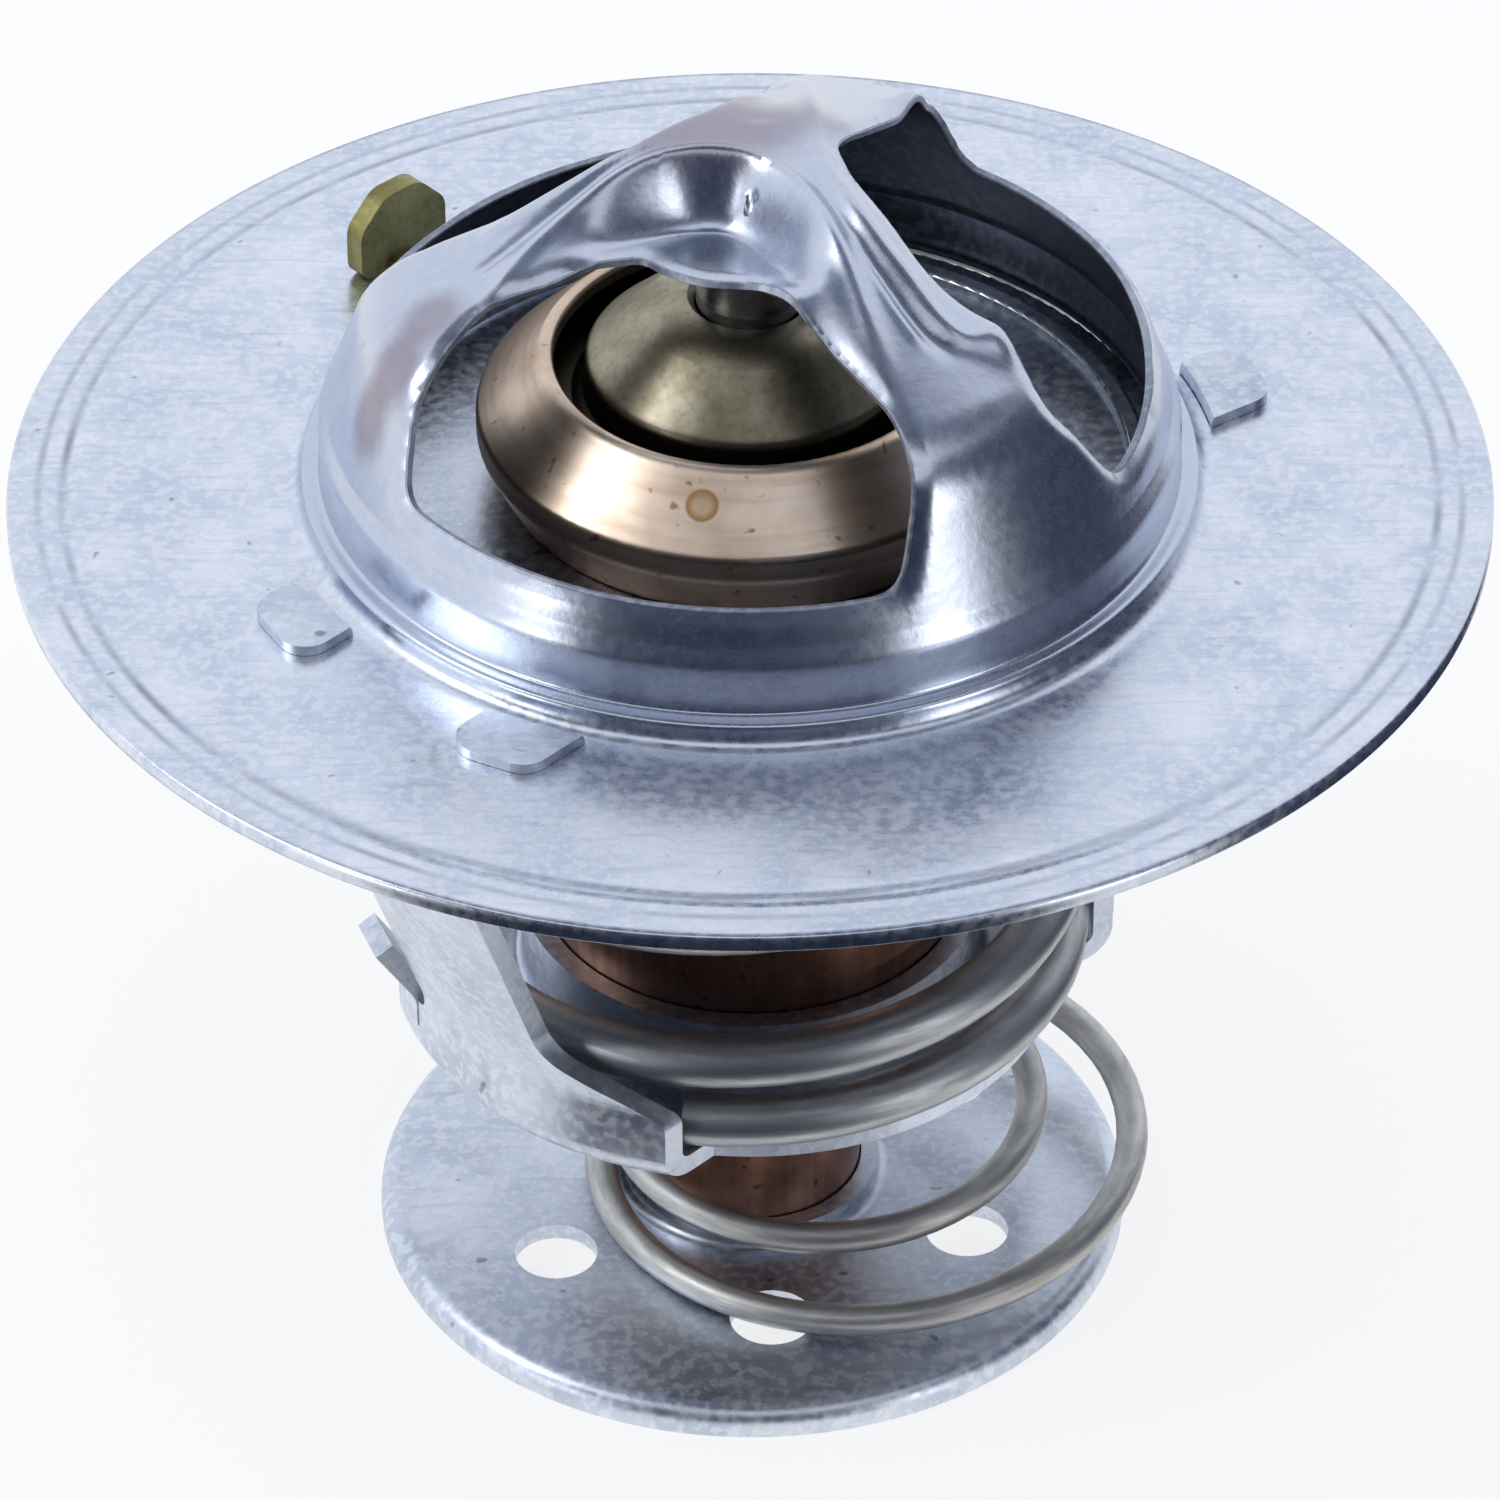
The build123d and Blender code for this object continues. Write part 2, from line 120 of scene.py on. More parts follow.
def zinc_plated_sheet(name, light, dark, burnish, smooth, matt, marks=1.0, painted_warm_reflections=(), shade_rings=()):
    """Low-carbon steel sheet, cold rolled, pressed and zinc plated: a satin blue-white metal with fine
    crystal flecks, faint rolling streaks, and a burnished, darker skin where the die drew it."""
    mat = blank(name)
    where = add(mat, "ShaderNodeTexCoord").outputs["Object"]
    xyz = add(mat, "ShaderNodeSeparateXYZ", {"Vector": where}).outputs
    # Zinc crystals are about 0.05 mm, too fine to show, so they are drawn at 0.5 mm
    fleck = add(mat, "ShaderNodeTexNoise", {"Vector": where, "Scale": per_mm(0.5), "Detail": 3.0}).outputs["Fac"]
    # Clouds of thicker and thinner plating, 5 mm across
    cloud = add(mat, "ShaderNodeTexNoise", {
        "Vector": where, "Scale": per_mm(5.0), "Detail": 5.0, "Roughness": 0.6}).outputs["Fac"]
    # Rolling streaks run along the strip, 0.35 mm wide and 4 mm long
    strip = add(mat, "ShaderNodeMapping", {
        "Vector": where, "Rotation": (0, 0, math.radians(35)),
        "Scale": (per_mm(4.0), per_mm(0.35), per_mm(2.0))}).outputs["Vector"]
    streak = add(mat, "ShaderNodeTexNoise", {
        "Vector": strip, "Scale": 1.0, "Detail": 4.0, "Roughness": 0.6}).outputs["Fac"]
    # Handling nicks: the tops of a 1.1 mm pattern, so few and small, and dark
    nick = add(mat, "ShaderNodeTexNoise", {"Vector": where, "Scale": per_mm(1.1), "Detail": 1.0}).outputs["Fac"]

    cloudy = add(mat, "ShaderNodeMapRange", {"Value": cloud, "From Min": 0.36, "From Max": 0.64}).outputs["Result"]
    tint = add(mat, "ShaderNodeMix", {0: cloudy, 6: rgb(dark), 7: rgb(light)}, data_type="RGBA").outputs[2]
    tint = marked(mat, tint, fleck, 0.48, 0.58, 0.5 * marks, "#F3F7FC")
    tint = marked(mat, tint, streak, 0.52, 0.72, 0.28 * marks, "#9CA8BC")
    tint = marked(mat, tint, nick, 0.75, 0.80, 0.6 * marks, "#5B6270")
    # Above the flange the sheet was drawn over the punch, which burnishes it
    drawn = add(mat, "ShaderNodeMapRange", {
        "Value": xyz["Z"], "From Min": 0.3 * MM, "From Max": 1.0 * MM, "To Max": burnish}).outputs["Result"]
    tint = add(mat, "ShaderNodeMix", {0: drawn, 6: tint, 7: rgb("#C4CBDA")}, data_type="RGBA").outputs[2]
    # Painted shade along the border's groove and step, as darker rings round it: each a radius, a half width and a
    # depth
    flat = add(mat, "ShaderNodeVectorMath", {0: where, 1: (1, 1, 0)}, operation="MULTIPLY").outputs["Vector"]
    out = add(mat, "ShaderNodeVectorMath", {0: flat}, operation="LENGTH").outputs["Value"]
    for line_r, half, depth in shade_rings:
        off = add(mat, "ShaderNodeMath", {0: out, 1: line_r * MM}, operation="SUBTRACT").outputs[0]
        off = add(mat, "ShaderNodeMath", {0: off}, operation="ABSOLUTE").outputs[0]
        ring_shade = add(mat, "ShaderNodeMapRange", {
            "Value": off, "From Min": half * MM, "From Max": 0.0, "To Max": depth},
            interpolation_type="SMOOTHSTEP").outputs["Result"]
        ring_shade = add(mat, "ShaderNodeMath", {0: ring_shade, 1: cloudy}, operation="MULTIPLY").outputs[0]
        tint = add(mat, "ShaderNodeMix", {0: ring_shade, 6: tint, 7: rgb("#7E899E")}, data_type="RGBA").outputs[2]
    # Painted warm reflections, as soft warm grey patches: each a place in millimetres, its reach along each axis and
    # its depth
    for place, reach, depth in painted_warm_reflections:
        off = add(mat, "ShaderNodeVectorMath", {
            0: where, 1: [v * MM for v in place]}, operation="SUBTRACT").outputs["Vector"]
        off = add(mat, "ShaderNodeVectorMath", {
            0: off, 1: [1 / (v * MM) for v in reach]}, operation="MULTIPLY").outputs["Vector"]
        far = add(mat, "ShaderNodeVectorMath", {0: off}, operation="LENGTH").outputs["Value"]
        ragged = add(mat, "ShaderNodeMath", {0: cloud, 1: -0.9, 2: far}, operation="MULTIPLY_ADD").outputs[0]
        stain = add(mat, "ShaderNodeMapRange", {
            "Value": ragged, "From Min": 0.65, "From Max": 0.0, "To Max": depth},
            interpolation_type="SMOOTHSTEP").outputs["Result"]
        tint = add(mat, "ShaderNodeMix", {0: stain, 6: tint, 7: rgb("#9C939F")}, data_type="RGBA").outputs[2]
    base_rough = add(mat, "ShaderNodeMapRange", {
        "Value": fleck, "From Min": 0.35, "From Max": 0.65,
        "To Min": matt - 0.05, "To Max": matt + 0.07}).outputs["Result"]
    drawn_rough = add(mat, "ShaderNodeMapRange", {
        "Value": cloud, "From Min": 0.3, "From Max": 0.7,
        "To Min": smooth - 0.03, "To Max": smooth + 0.05}).outputs["Result"]
    rough = add(mat, "ShaderNodeMix", {0: drawn, 2: base_rough, 3: drawn_rough}).outputs[0]
    hammer = add(mat, "ShaderNodeBump", {
        "Height": cloud, "Strength": 0.22 * marks, "Distance": 0.10 * MM}).outputs["Normal"]
    grain = add(mat, "ShaderNodeBump", {
        "Height": fleck, "Normal": hammer, "Strength": 0.26 * marks, "Distance": 0.03 * MM}).outputs["Normal"]
    shader = add(mat, "ShaderNodeBsdfPrincipled", {
        "Base Color": tint, "Metallic": 1.0, "Roughness": rough, "Normal": grain})
    add(mat, "ShaderNodeOutputMaterial", {"Surface": shader.outputs["BSDF"]})
    return mat


def spring_wire(name, light, dark):
    """Spring steel wire, drawn and tempered: dull grey, with drawing lines along the wire that show as
    fine dark marks, and a trace of brown from the tempering."""
    mat = blank(name)
    where = add(mat, "ShaderNodeTexCoord").outputs["Object"]
    # Drawing lines, 0.05 mm wide, drawn at 0.3 mm so that they show, and 3 mm long round the coil
    along = add(mat, "ShaderNodeMapping", {
        "Vector": where, "Scale": (per_mm(3.0), per_mm(3.0), per_mm(0.3))}).outputs["Vector"]
    line = add(mat, "ShaderNodeTexNoise", {
        "Vector": along, "Scale": 1.0, "Detail": 5.0, "Roughness": 0.65}).outputs["Fac"]
    # Temper stains, 8 mm
    stain = add(mat, "ShaderNodeTexNoise", {"Vector": where, "Scale": per_mm(8.0), "Detail": 4.0}).outputs["Fac"]
    lined = add(mat, "ShaderNodeMapRange", {"Value": line, "From Min": 0.36, "From Max": 0.62}).outputs["Result"]
    tint = add(mat, "ShaderNodeMix", {0: lined, 6: rgb(dark), 7: rgb(light)}, data_type="RGBA").outputs[2]
    tint = marked(mat, tint, stain, 0.48, 0.72, 0.30, "#80786C")
    rough = add(mat, "ShaderNodeMapRange", {
        "Value": line, "From Min": 0.3, "From Max": 0.7, "To Min": 0.50, "To Max": 0.40}).outputs["Result"]
    relief = add(mat, "ShaderNodeBump", {"Height": line, "Strength": 0.15, "Distance": 0.03 * MM}).outputs["Normal"]
    shader = add(mat, "ShaderNodeBsdfPrincipled", {
        "Base Color": tint, "Metallic": 1.0, "Roughness": rough, "Normal": relief})
    add(mat, "ShaderNodeOutputMaterial", {"Surface": shader.outputs["BSDF"]})
    return mat


def drawn_copper():
    """Copper cup, deep drawn: the crimped mouth is coloured a pale bronze, and the body below it a darker red brown
    with fine lines up the draw."""
    mat = blank("Deep drawn copper")
    where = add(mat, "ShaderNodeTexCoord").outputs["Object"]
    xyz = add(mat, "ShaderNodeSeparateXYZ", {"Vector": where}).outputs
    # Tarnish clouds, 4.5 mm
    cloud = add(mat, "ShaderNodeTexNoise", {
        "Vector": where, "Scale": per_mm(4.5), "Detail": 4.0, "Roughness": 0.55}).outputs["Fac"]
    # Draw lines, 0.5 mm apart round the cup and 12 mm long up it
    up = add(mat, "ShaderNodeMapping", {
        "Vector": where, "Scale": (per_mm(0.5), per_mm(0.5), per_mm(12.0))}).outputs["Vector"]
    line = add(mat, "ShaderNodeTexNoise", {
        "Vector": up, "Scale": 1.0, "Detail": 4.0, "Roughness": 0.6}).outputs["Fac"]
    # Rolling lines of the mouth, 0.1 mm apart up it, drawn at 0.35 mm so that they show, and 6 mm long round it
    around = add(mat, "ShaderNodeMapping", {
        "Vector": where, "Scale": (per_mm(6.0), per_mm(6.0), per_mm(0.35))}).outputs["Vector"]
    ring = add(mat, "ShaderNodeTexNoise", {"Vector": around, "Scale": 1.0, "Detail": 4.0}).outputs["Fac"]
    # Pits: the tops of a 0.9 mm pattern, so few and small
    pit = add(mat, "ShaderNodeTexNoise", {"Vector": where, "Scale": per_mm(0.9), "Detail": 2.0}).outputs["Fac"]

    cloudy = add(mat, "ShaderNodeMapRange", {"Value": cloud, "From Min": 0.36, "From Max": 0.64}).outputs["Result"]
    body = add(mat, "ShaderNodeMix", {0: cloudy, 6: rgb("#805C50"), 7: rgb("#B38770")}, data_type="RGBA").outputs[2]
    body = marked(mat, body, line, 0.4, 0.7, 0.4, "#644338")
    mouth = add(mat, "ShaderNodeMix", {0: cloudy, 6: rgb("#D6BCA4"), 7: rgb("#F4E2CF")}, data_type="RGBA").outputs[2]
    mouth = marked(mat, mouth, ring, 0.45, 0.7, 0.35, "#B3947A")
    level = add(mat, "ShaderNodeMapRange", {
        "Value": xyz["Z"], "From Min": 0.4 * MM, "From Max": 1.4 * MM}).outputs["Result"]
    tint = add(mat, "ShaderNodeMix", {0: level, 6: body, 7: mouth}, data_type="RGBA").outputs[2]
    # The lower half of the mouth is coloured browner than its rolled-in top
    skirt = add(mat, "ShaderNodeMapRange", {
        "Value": xyz["Z"], "From Min": 4.6 * MM, "From Max": 3.6 * MM, "To Max": 0.55}).outputs["Result"]
    skirt = add(mat, "ShaderNodeMath", {0: skirt, 1: level}, operation="MULTIPLY").outputs[0]
    tint = add(mat, "ShaderNodeMix", {0: skirt, 6: tint, 7: rgb("#8A6650")}, data_type="RGBA").outputs[2]
    tint = marked(mat, tint, pit, 0.68, 0.74, 0.6, "#40281C")
    # One dried drop on the mouth's front, 1.5 mm across and darkest at its ring
    drop = add(mat, "ShaderNodeVectorMath", {
        0: where, 1: (-2.1 * MM, -10.3 * MM, 5.9 * MM)}, operation="DISTANCE").outputs["Value"]
    inside = add(mat, "ShaderNodeMapRange", {
        "Value": drop, "From Min": 0.80 * MM, "From Max": 0.68 * MM}).outputs["Result"]
    core = add(mat, "ShaderNodeMapRange", {
        "Value": drop, "From Min": 0.35 * MM, "From Max": 0.68 * MM, "To Min": 0.45, "To Max": 0.9}).outputs["Result"]
    mark = add(mat, "ShaderNodeMath", {0: inside, 1: core}, operation="MULTIPLY").outputs[0]
    tint = add(mat, "ShaderNodeMix", {0: mark, 6: tint, 7: rgb("#A3783C")}, data_type="RGBA").outputs[2]
    rough = add(mat, "ShaderNodeMapRange", {
        "Value": cloud, "From Min": 0.3, "From Max": 0.7, "To Min": 0.42, "To Max": 0.35}).outputs["Result"]
    relief = add(mat, "ShaderNodeBump", {"Height": ring, "Strength": 0.12, "Distance": 0.03 * MM}).outputs["Normal"]
    shader = add(mat, "ShaderNodeBsdfPrincipled", {
        "Base Color": tint, "Metallic": 1.0, "Roughness": rough, "Normal": relief})
    add(mat, "ShaderNodeOutputMaterial", {"Surface": shader.outputs["BSDF"]})
    return mat


NOWHERE = 100.0   # millimetres from the axis, past the whole valve


def brass(name, dark, light, low, high, shade_from_r=NOWHERE):
    """Brass, turned or stamped and left bare: it dulls to an olive tarnish in soft clouds, and keeps fine
    tool lines round it."""
    mat = blank(name)
    where = add(mat, "ShaderNodeTexCoord").outputs["Object"]
    # Tarnish clouds, 3 mm
    cloud = add(mat, "ShaderNodeTexNoise", {
        "Vector": where, "Scale": per_mm(3.0), "Detail": 6.0, "Roughness": 0.62}).outputs["Fac"]
    # Tool lines, 0.15 mm apart, drawn at 0.3 mm so that they show
    around = add(mat, "ShaderNodeMapping", {
        "Vector": where, "Scale": (per_mm(5.0), per_mm(5.0), per_mm(0.3))}).outputs["Vector"]
    line = add(mat, "ShaderNodeTexNoise", {"Vector": around, "Scale": 1.0, "Detail": 4.0}).outputs["Fac"]
    # Specks of tarnish, 0.4 mm
    fine = add(mat, "ShaderNodeTexNoise", {"Vector": where, "Scale": per_mm(0.4), "Detail": 3.0}).outputs["Fac"]
    cloudy = add(mat, "ShaderNodeMapRange", {"Value": cloud, "From Min": 0.36, "From Max": 0.64}).outputs["Result"]
    tint = add(mat, "ShaderNodeMix", {0: cloudy, 6: rgb(dark), 7: rgb(light)}, data_type="RGBA").outputs[2]
    tint = marked(mat, tint, fine, 0.5, 0.7, 0.3, "#5E5A3A")
    # Painted shade: from the given radius out, where it sits down in the cup's crimped mouth, the brass is painted
    # near black
    flat = add(mat, "ShaderNodeVectorMath", {0: where, 1: (1, 1, 0)}, operation="MULTIPLY").outputs["Vector"]
    out = add(mat, "ShaderNodeVectorMath", {0: flat}, operation="LENGTH").outputs["Value"]
    tint = marked(mat, tint, out, shade_from_r * MM, (shade_from_r + 0.4) * MM, 0.92, "#1E1B16")
    rough = add(mat, "ShaderNodeMapRange", {
        "Value": cloud, "From Min": 0.3, "From Max": 0.7, "To Min": high, "To Max": low}).outputs["Result"]
    relief = add(mat, "ShaderNodeBump", {"Height": line, "Strength": 0.15, "Distance": 0.03 * MM}).outputs["Normal"]
    relief = add(mat, "ShaderNodeBump", {
        "Height": cloud, "Normal": relief, "Strength": 0.14, "Distance": 0.10 * MM}).outputs["Normal"]
    shader = add(mat, "ShaderNodeBsdfPrincipled", {
        "Base Color": tint, "Metallic": 1.0, "Roughness": rough, "Normal": relief})
    add(mat, "ShaderNodeOutputMaterial", {"Surface": shader.outputs["BSDF"]})
    return mat


def ground_steel():
    """Hardened steel pin, centreless ground: a dark, close-grained shine with lines round it."""
    mat = blank("Ground hardened steel")
    where = add(mat, "ShaderNodeTexCoord").outputs["Object"]
    # Grinding lines, 0.02 mm apart, drawn at 0.2 mm so that they show
    around = add(mat, "ShaderNodeMapping", {
        "Vector": where, "Scale": (per_mm(4.0), per_mm(4.0), per_mm(0.2))}).outputs["Vector"]
    line = add(mat, "ShaderNodeTexNoise", {"Vector": around, "Scale": 1.0, "Detail": 4.0}).outputs["Fac"]
    tint = add(mat, "ShaderNodeMix", {0: line, 6: rgb("#A0A1A8"), 7: rgb("#C4C6CD")}, data_type="RGBA").outputs[2]
    rough = add(mat, "ShaderNodeMapRange", {
        "Value": line, "From Min": 0.3, "From Max": 0.7, "To Min": 0.2, "To Max": 0.3}).outputs["Result"]
    relief = add(mat, "ShaderNodeBump", {"Height": line, "Strength": 0.08, "Distance": 0.02 * MM}).outputs["Normal"]
    shader = add(mat, "ShaderNodeBsdfPrincipled", {
        "Base Color": tint, "Metallic": 1.0, "Roughness": rough, "Normal": relief})
    add(mat, "ShaderNodeOutputMaterial", {"Surface": shader.outputs["BSDF"]})
    return mat


def moulded_rubber():
    """Nitrile rubber, moulded: black and matt, with the fine grain of the mould."""
    mat = blank("Moulded nitrile rubber")
    where = add(mat, "ShaderNodeTexCoord").outputs["Object"]
    # The mould's grain is 0.05 mm, too fine to show, so it is drawn at 0.3 mm
    grain = add(mat, "ShaderNodeTexNoise", {"Vector": where, "Scale": per_mm(0.3), "Detail": 2.0}).outputs["Fac"]
    tint = add(mat, "ShaderNodeMix", {0: grain, 6: rgb("#191919"), 7: rgb("#2B2B2B")}, data_type="RGBA").outputs[2]
    rough = add(mat, "ShaderNodeMapRange", {"Value": grain, "To Min": 0.6, "To Max": 0.8}).outputs["Result"]
    relief = add(mat, "ShaderNodeBump", {"Height": grain, "Strength": 0.2, "Distance": 0.03 * MM}).outputs["Normal"]
    shader = add(mat, "ShaderNodeBsdfPrincipled", {
        "Base Color": tint, "Roughness": rough, "IOR": 1.52, "Normal": relief})
    add(mat, "ShaderNodeOutputMaterial", {"Surface": shader.outputs["BSDF"]})
    return mat


def cast_wax():
    """Paraffin wax mixed with copper powder, cast: a waxy tan with darker specks of the powder."""
    mat = blank("Cast paraffin wax")
    where = add(mat, "ShaderNodeTexCoord").outputs["Object"]
    # Grains of powder, 0.1 mm, drawn at 0.4 mm so that they show
    powder = add(mat, "ShaderNodeTexNoise", {"Vector": where, "Scale": per_mm(0.4), "Detail": 3.0}).outputs["Fac"]
    speck = add(mat, "ShaderNodeMapRange", {"Value": powder, "From Min": 0.5, "From Max": 0.65}).outputs["Result"]
    tint = add(mat, "ShaderNodeMix", {0: speck, 6: rgb("#CDB07A"), 7: rgb("#8E5E3C")}, data_type="RGBA").outputs[2]
    rough = add(mat, "ShaderNodeMapRange", {"Value": powder, "To Min": 0.4, "To Max": 0.55}).outputs["Result"]
    relief = add(mat, "ShaderNodeBump", {"Height": powder, "Strength": 0.15, "Distance": 0.05 * MM}).outputs["Normal"]
    shader = add(mat, "ShaderNodeBsdfPrincipled", {
        "Base Color": tint, "Roughness": rough, "IOR": 1.44, "Normal": relief})
    add(mat, "ShaderNodeOutputMaterial", {"Surface": shader.outputs["BSDF"]})
    return mat


bridge_zinc = zinc_plated_sheet(
    "Zinc plated pressed steel", "#E4EAF5", "#CBD4E4", 0.75, 0.25, 0.29, 1.0,
    # The patches on the hub and the left leg below are painted warm reflections
    [((-1.6, 5.0, 16.4), (6.0, 5.0, 3.5), 0.75), ((-14.0, -4.8, 12.0), (2.2, 2.0, 2.2), 0.7),
     ((-15.4, -6.3, 10.4), (2.2, 2.2, 2.6), 0.8), ((-16.8, -6.3, 7.6), (2.2, 2.0, 2.8), 0.8)],
    # Rings of painted shade in the border's groove and at its step
    [(31.0, 0.35, 0.8), (32.1, 0.30, 0.6)])
# The plated face inside the bridge is painted in shade: much darker than the outer one, with few marks
shaded_inner_zinc = zinc_plated_sheet("Zinc plated steel inside the cover, painted shade", "#3F4450", "#353A45", 0.0, 0.28, 0.36, 0.08)
# Sheared edges are rougher under the plating, so they look duller
sheared_edge = zinc_plated_sheet("Sheared edge of the plated sheet", "#AEB6C4", "#8F98A8", 0.0, 0.45, 0.50, 0.5)
frame_zinc = zinc_plated_sheet("Zinc plated frame steel", "#DCE3EF", "#C0C9D9", 0.0, 0.30, 0.38)
disc_zinc = zinc_plated_sheet("Zinc plated disc steel", "#D2DAE8", "#B8C2D3", 0.0, 0.28, 0.32)
main_wire = spring_wire("Oil tempered spring wire", "#D2D4D6", "#B6B8BB")
bypass_wire = spring_wire("Hard drawn spring wire", "#CECECB", "#B0B0AD")
copper = drawn_copper()
# From 7.1 mm out the guide is painted in shade, under the cup's lip
guide_brass = brass("Turned brass", "#837C66", "#AEA692", 0.34, 0.42, 7.1)
pin_brass = brass("Stamped brass", "#787348", "#A39D6C", 0.36, 0.46)
pin_steel = ground_steel()

dress = {
    "lower_frame": frame_zinc, "piston_pin": pin_steel, "element_cup": copper, "guide_bush": guide_brass,
    "rubber_boot": moulded_rubber(), "wax_charge": cast_wax(), "valve_disc": disc_zinc,
    "bypass_plate": frame_zinc, "stem_clip": bypass_wire, "jiggle_pin": pin_brass,
}
for name, mat in dress.items():
    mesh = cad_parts[name].data
    mesh.materials.clear()
    mesh.materials.append(mat)


# ---- Flange and bridge: one pressed sheet, with its ribs, its scooped hub and its punched edges --------

# Millimetres and degrees; compass angles go anticlockwise from +X
SHEET = 0.85
DRAWN_SHEET = 0.6        # the sheet is thinner where it was drawn up
DRAWN_FROM = 1.3         # it thins from this height
DRAWN_OVER = 1.5         # and over this much more
LEGS = (70.0, 189.5, 313.5)
# Height of the windows' sill at each compass angle
SILL_TURN = (0, 16, 35, 50, 70, 100, 120, 140, 330, 345, 360)
SILL_Z = (6.9, 7.3, 7.1, 7.2, 7.0, 6.6, 6.3, 6.0, 6.0, 6.3, 6.9)


def rounded(path, counts):
    """Points along an (r, z, radius) path: counts gives how many parts each run and each bend has."""
    points = []
    corners = [Vector((r, z)) for r, z, _ in path]
    ends = []
    for i, (_, _, radius) in enumerate(path):
        here = corners[i]
        if i in (0, len(path) - 1) or radius <= 0:
            ends.append((here, here, None))
            continue
        back = (corners[i - 1] - here).normalized()
        ahead = (corners[i + 1] - here).normalized()
        half = math.acos(max(-1.0, min(1.0, back.dot(ahead)))) / 2
        reach = radius / math.tan(half)
        centre = here + (back + ahead).normalized() * radius / math.sin(half)
        ends.append((here + back * reach, here + ahead * reach, centre))
    for i, ((start, end, middle), (run, bend)) in enumerate(zip(ends, counts)):
        if i > 0:
            before = ends[i - 1][1]
            points += [before.lerp(start, k / run) for k in range(1, run + 1)]
        else:
            points.append(start)
        if middle is not None:
            one, two = start - middle, end - middle
            sweep = math.atan2(one.x * two.y - one.y * two.x, one.dot(two))
            for k in range(1, bend + 1):
                turn = sweep * k / bend
                c, s = math.cos(turn), math.sin(turn)
                points.append(middle + Vector((one.x * c - one.y * s, one.x * s + one.y * c)))
    return np.array([(p.x, p.y) for p in points])


TIGHTEST_BEND = 0.05   # inside radius of a corner that is folded nearly flat


def under(path, thickness):
    """The path of the sheet's other face, to the right of this one, each bend's radius to match."""
    points = [Vector((r, z)) for r, z, _ in path]
    runs = [(b - a).normalized() for a, b in zip(points, points[1:])]
    rights = [Vector((run.y, -run.x)) for run in runs]
    moved = []
    for i, (point, (_, _, radius)) in enumerate(zip(points, path)):
        if i in (0, len(runs)):
            shifted = point + rights[min(i, len(runs) - 1)] * thickness
            moved.append((shifted.x, shifted.y, 0))
            continue
        one, two = rights[i - 1], rights[i]
        shifted = point + (one + two) * (thickness / (1 + one.dot(two)))
        right_turn = runs[i - 1].x * runs[i].y - runs[i - 1].y * runs[i].x < 0
        bend = max(radius - thickness if right_turn else radius + thickness, TIGHTEST_BEND)
        moved.append((shifted.x, shifted.y, bend if radius > 0 else 0))
    return moved


# Radius, height and bend of the outer face, from the socket's middle to the flange's rim
SECTION = [
    (0.25, 13.35, 0), (2.95, 13.4, 0.9), (4.0, 15.55, 0.5), (5.3, 16.55, 1.3), (16.9, 11.2, 5.0),
    (18.95, 4.5, 1.0), (19.4, 3.7, 1.0), (19.4, 1.25, 0.2), (20.25, 1.25, 0.28), (20.25, 0.15, 0.8),
    (26.4, 0.15, 0), (30.5, 0.15, 1.0), (31.0, -0.03, 0.6), (31.5, 0.06, 0.8), (32.1, 0.0, 0.8), (33.38, 0.0, 0),
]
# How many parts the run up to each corner has, and the bend at it
PARTS = [
    (1, 1), (9, 5), (6, 3), (2, 5), (32, 24), (10, 4), (2, 4), (5, 3), (2, 4), (1, 5),
    (20, 1), (6, 2), (1, 2), (1, 2), (1, 2), (3, 1),
]
ROUND = 360   # columns round the sheet


def distance_to(route, x, y):
    """Distance in plan from points to a route, and how far along it they are, from 0 to 1."""
    best = np.full(x.shape, 1e9)
    along = np.zeros(x.shape)
    lengths = [math.dist(a, b) for a, b in zip(route, route[1:])]
    total, done = sum(lengths), 0.0
    for (ax, ay), (bx, by), length in zip(route, route[1:], lengths):
        share = np.clip(((x - ax) * (bx - ax) + (y - ay) * (by - ay)) / length ** 2, 0, 1)
        gap = np.hypot(x - ax - share * (bx - ax), y - ay - share * (by - ay))
        nearer = gap < best
        best = np.where(nearer, gap, best)
        along = np.where(nearer, (done + share * length) / total, along)
        done += length
    return best, along


def smoothed(route, times=3):
    """The route with its corners cut, so that a rib runs round them."""
    for _ in range(times):
        cut = [route[0]]
        for (ax, ay), (bx, by) in zip(route, route[1:]):
            cut.append((ax * 0.75 + bx * 0.25, ay * 0.75 + by * 0.25))
            cut.append((ax * 0.25 + bx * 0.75, ay * 0.25 + by * 0.75))
        route = cut + [route[-1]]
    return route


# Route in plan of the arch, which borders the hollow over the pin
ARCH = [
    (-12.2, -6.3), (-11.4, -5.0), (-10.4, -3.3), (-8.8, -1.9), (-7.5, -0.9), (-6.2, 0.1), (-4.5, 1.2), (-2.8, 1.9),
    (-1.1, 2.0), (0.4, 1.4), (1.7, 0.0), (2.8, -2.0), (3.8, -4.6), (4.5, -6.3), (5.1, -8.2), (5.5, -9.2),
    (6.1, -10.8),
]
# The hollow's outline goes on past the arch's two ends and the front edge
HOLLOW = ARCH + [(7.2, -13.0), (0.0, -15.0), (-12.6, -9.0)]
